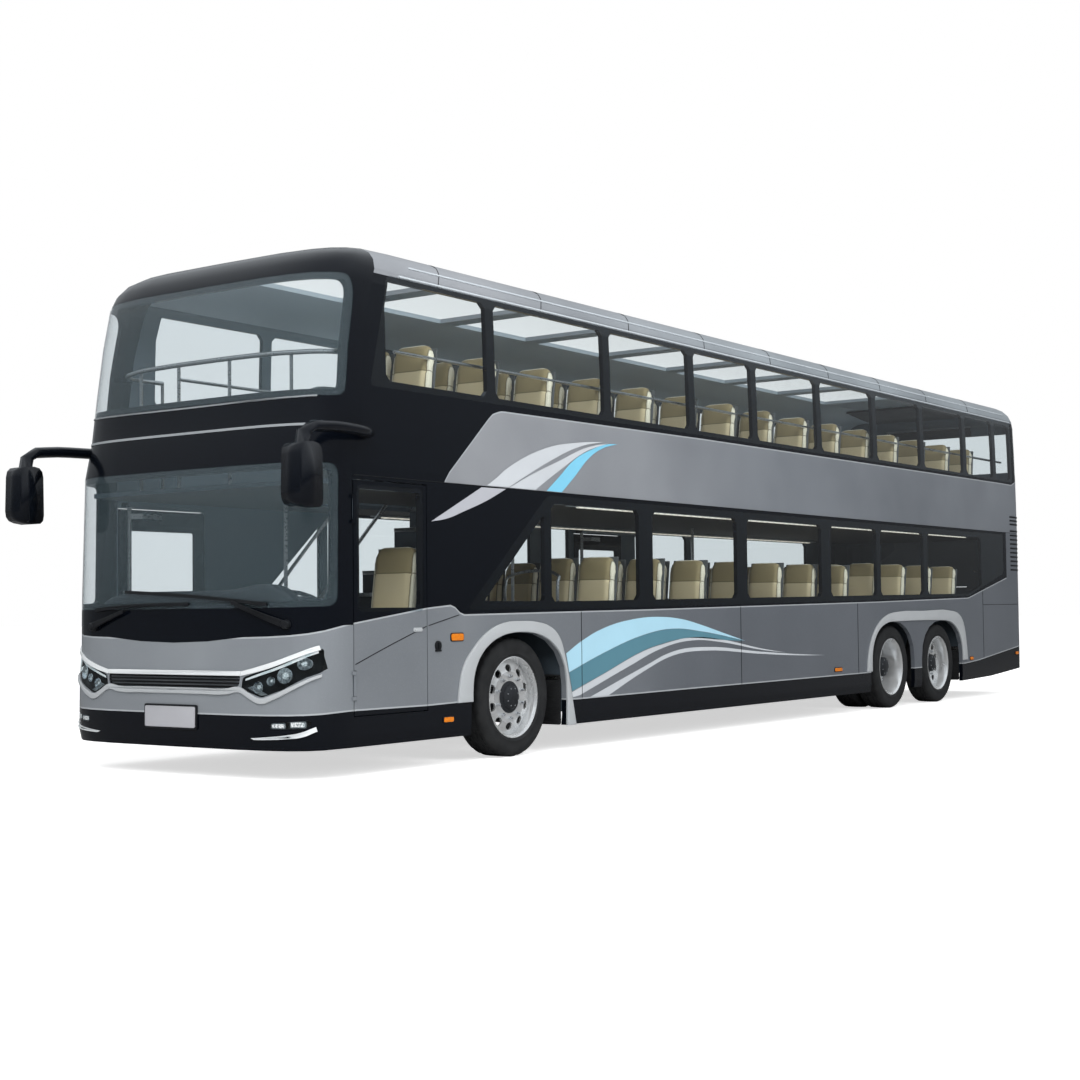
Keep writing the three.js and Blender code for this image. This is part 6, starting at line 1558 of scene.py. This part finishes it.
# slush-moulded skin with a leather-like grain 3 mm apart
grain = add(tree, "TexVoronoi", {"Scale": 330.0}, {"Vector": place})
tone = add(tree, "Mix", {"data_type": "RGBA", 6: srgb("#22262a"), 7: srgb("#2f3338")}, {"Factor": grain})
bump = add(tree, "Bump", {"Strength": 0.3, "Distance": 0.001}, {"Height": grain})
wire(shader, {"Base Color": tone, "Normal": bump})
dress(dash_black, "dashboard")
DASH_HALF, DASH_LOW, DASH_TOP, DASH_THICK, DASH_BEHIND = 1.08, 1.08, 1.34, 0.18, 0.12
HUMP, HUMP_HALF, END_DROP = 0.055, 0.26, 0.11
form = bmesh.new()
bmesh.ops.create_grid(form, x_segments=48, y_segments=1, size=0.5)
for vert in form.verts:
    y = 2 * DASH_HALF * vert.co.x
    # the shelf swells over the dials and falls away at its ends
    swell = HUMP * math.exp(-((y - DRIVER_Y) / HUMP_HALF) ** 2)
    top = DASH_TOP + swell - END_DROP * (abs(y) / DASH_HALF) ** 6
    vert.co = (y, top if vert.co.y > 0 else DASH_LOW, 0.0)
bmesh.ops.solidify(form, geom=form.faces[:], thickness=DASH_THICK)
form.normal_update()
rims = [edge for edge in form.edges if min(vert.co.y for vert in edge.verts) > DASH_LOW + 0.05
        and abs(edge.verts[0].co.x - edge.verts[1].co.x) > 0.01]
bmesh.ops.bevel(form, geom=rims, offset=0.035, affect="EDGES", segments=4, profile=0.5, material=-1)
piece("dash_shelf", onto_nose(form, -DASH_BEHIND), dash_black)
HOOD_X, GLASS_X, RING_X = 0.15 + FRONT_JOINT, 0.066 + FRONT_JOINT, 0.063 + FRONT_JOINT
HOOD_FOOT, RING_HEIGHT = 1.13, 1.185
hood = sawn([(-0.27, 0), (-0.25, 0.10), (0, 0.135), (0.25, 0.10), (0.27, 0)], 0.16, (0, 4), 0.015)
cover = tile(-0.20, 0.20, 0.015, 0.095, 0.02, 0.006)
for form, x in ((hood, HOOD_X), (cover, GLASS_X)):
    form.transform(Matrix(((0, 0, 1, x), (1, 0, 0, DRIVER_Y), (0, 1, 0, HOOD_FOOT), (0, 0, 0, 1))))
piece("instrument_hood", hood, dash_black)
piece("instrument_glass", cover, gloss_black)
rings = []
for y in (DRIVER_Y - 0.11, DRIVER_Y + 0.11):
    ring = turned([(0.036, 0.0), (0.040, 0.003), (0.036, 0.006), (0.033, 0.003)], 32)
    ring.transform(Matrix(((0, 0, -1, RING_X), (1, 0, 0, y), (0, 1, 0, RING_HEIGHT), (0, 0, 0, 1))))
    rings.append(ring)
piece("instrument_rings", gather(rings), chrome)

# ------------------------------------------------------------------ passenger doors
# Gloss-black glazed leaves on bent steel swing arms, with a grab bar bolted inside each edge, and
# a flush pull let into the driver's door.
dress(gloss_black, "entrance_door", "middle_door")
dress(steel, "entrance_door_arm", "middle_door_arm")
# Each leaf: its body, front and rear edge. Each bar's bend: (y, z).
LEAVES = (("entrance_door", -0.048, -0.96), ("middle_door", -6.47, -7.415))
GRAB_BAR, GRIP_IN = [(-1.225, 0.85), (-1.185, 0.89), (-1.185, 1.31), (-1.225, 1.35)], 0.05
for door, front, rear in LEAVES:
    bars = [rail([(station, y, z) for y, z in GRAB_BAR], 0.012)
            for station in (front - GRIP_IN, rear + GRIP_IN)]
    piece(f"{door}_grips", gather(bars), steel, door)
grip = [tile(-0.79, -0.69, 1.02, 1.05, 0.012, 0.006), tile(-0.78, -0.70, 1.026, 1.044, 0.008, 0.022)]
piece("driver_door_handle", onto_side(gather(grip), 1, 1.277), flare_silver, "driver_door")

# ------------------------------------------------------------------ mudflaps
# Ribbed rubber flaps behind the front and the rearmost wheels, each clamped to the wall of its
# wheel house by a steel bar with four bolts.
# Each pair: axle, station of the wall, lower and upper edge.
FLAPS = [("front", -2.669, 0.215, 0.63), ("tag", -11.444, 0.24, 0.66)]
FLAP_SPAN, RIB_COUNT, RIB_PITCH, FLAP_BOLTS, BOLT_IN = (0.78, 1.215), 10, 0.034, 4, 0.05
for axle, station, low, high in FLAPS:
    for word, side in (("left", 1), ("right", -1)):
        y0, y1 = sorted(side * edge for edge in FLAP_SPAN)
        ribs = [tile(y0, y1, low, high, 0.02, 0.006)]
        for i in range(RIB_COUNT):
            foot = low + RIB_PITCH * i
            ribs.append(tile(y0 + 0.02, y1 - 0.02, foot + 0.03, foot + 0.042, 0.004, 0.005, -0.004))
        clamp = [tile(y0 + 0.008, y1 - 0.008, high - 0.042, high - 0.012, 0.003, 0.004, -0.005)]
        for i in range(FLAP_BOLTS):
            bolt = stud(0.009, 0.014, 0.007)
            y = y0 + BOLT_IN + (y1 - y0 - 2 * BOLT_IN) * i / (FLAP_BOLTS - 1)
            bolt.transform(Matrix.Translation((y, high - 0.027, 0)))
            clamp.append(bolt)
        on_wall = Matrix(((0, 0, 1, station + FRONT_JOINT + 0.003), (1, 0, 0, 0), (0, 1, 0, 0), (0, 0, 0, 1)))
        for name, forms, finish in (("mudflap", ribs, rubber), ("mudflap_clamp", clamp, steel)):
            form = gather(forms)
            form.transform(on_wall)
            piece(f"{name}_{axle}_{word}", form, finish)
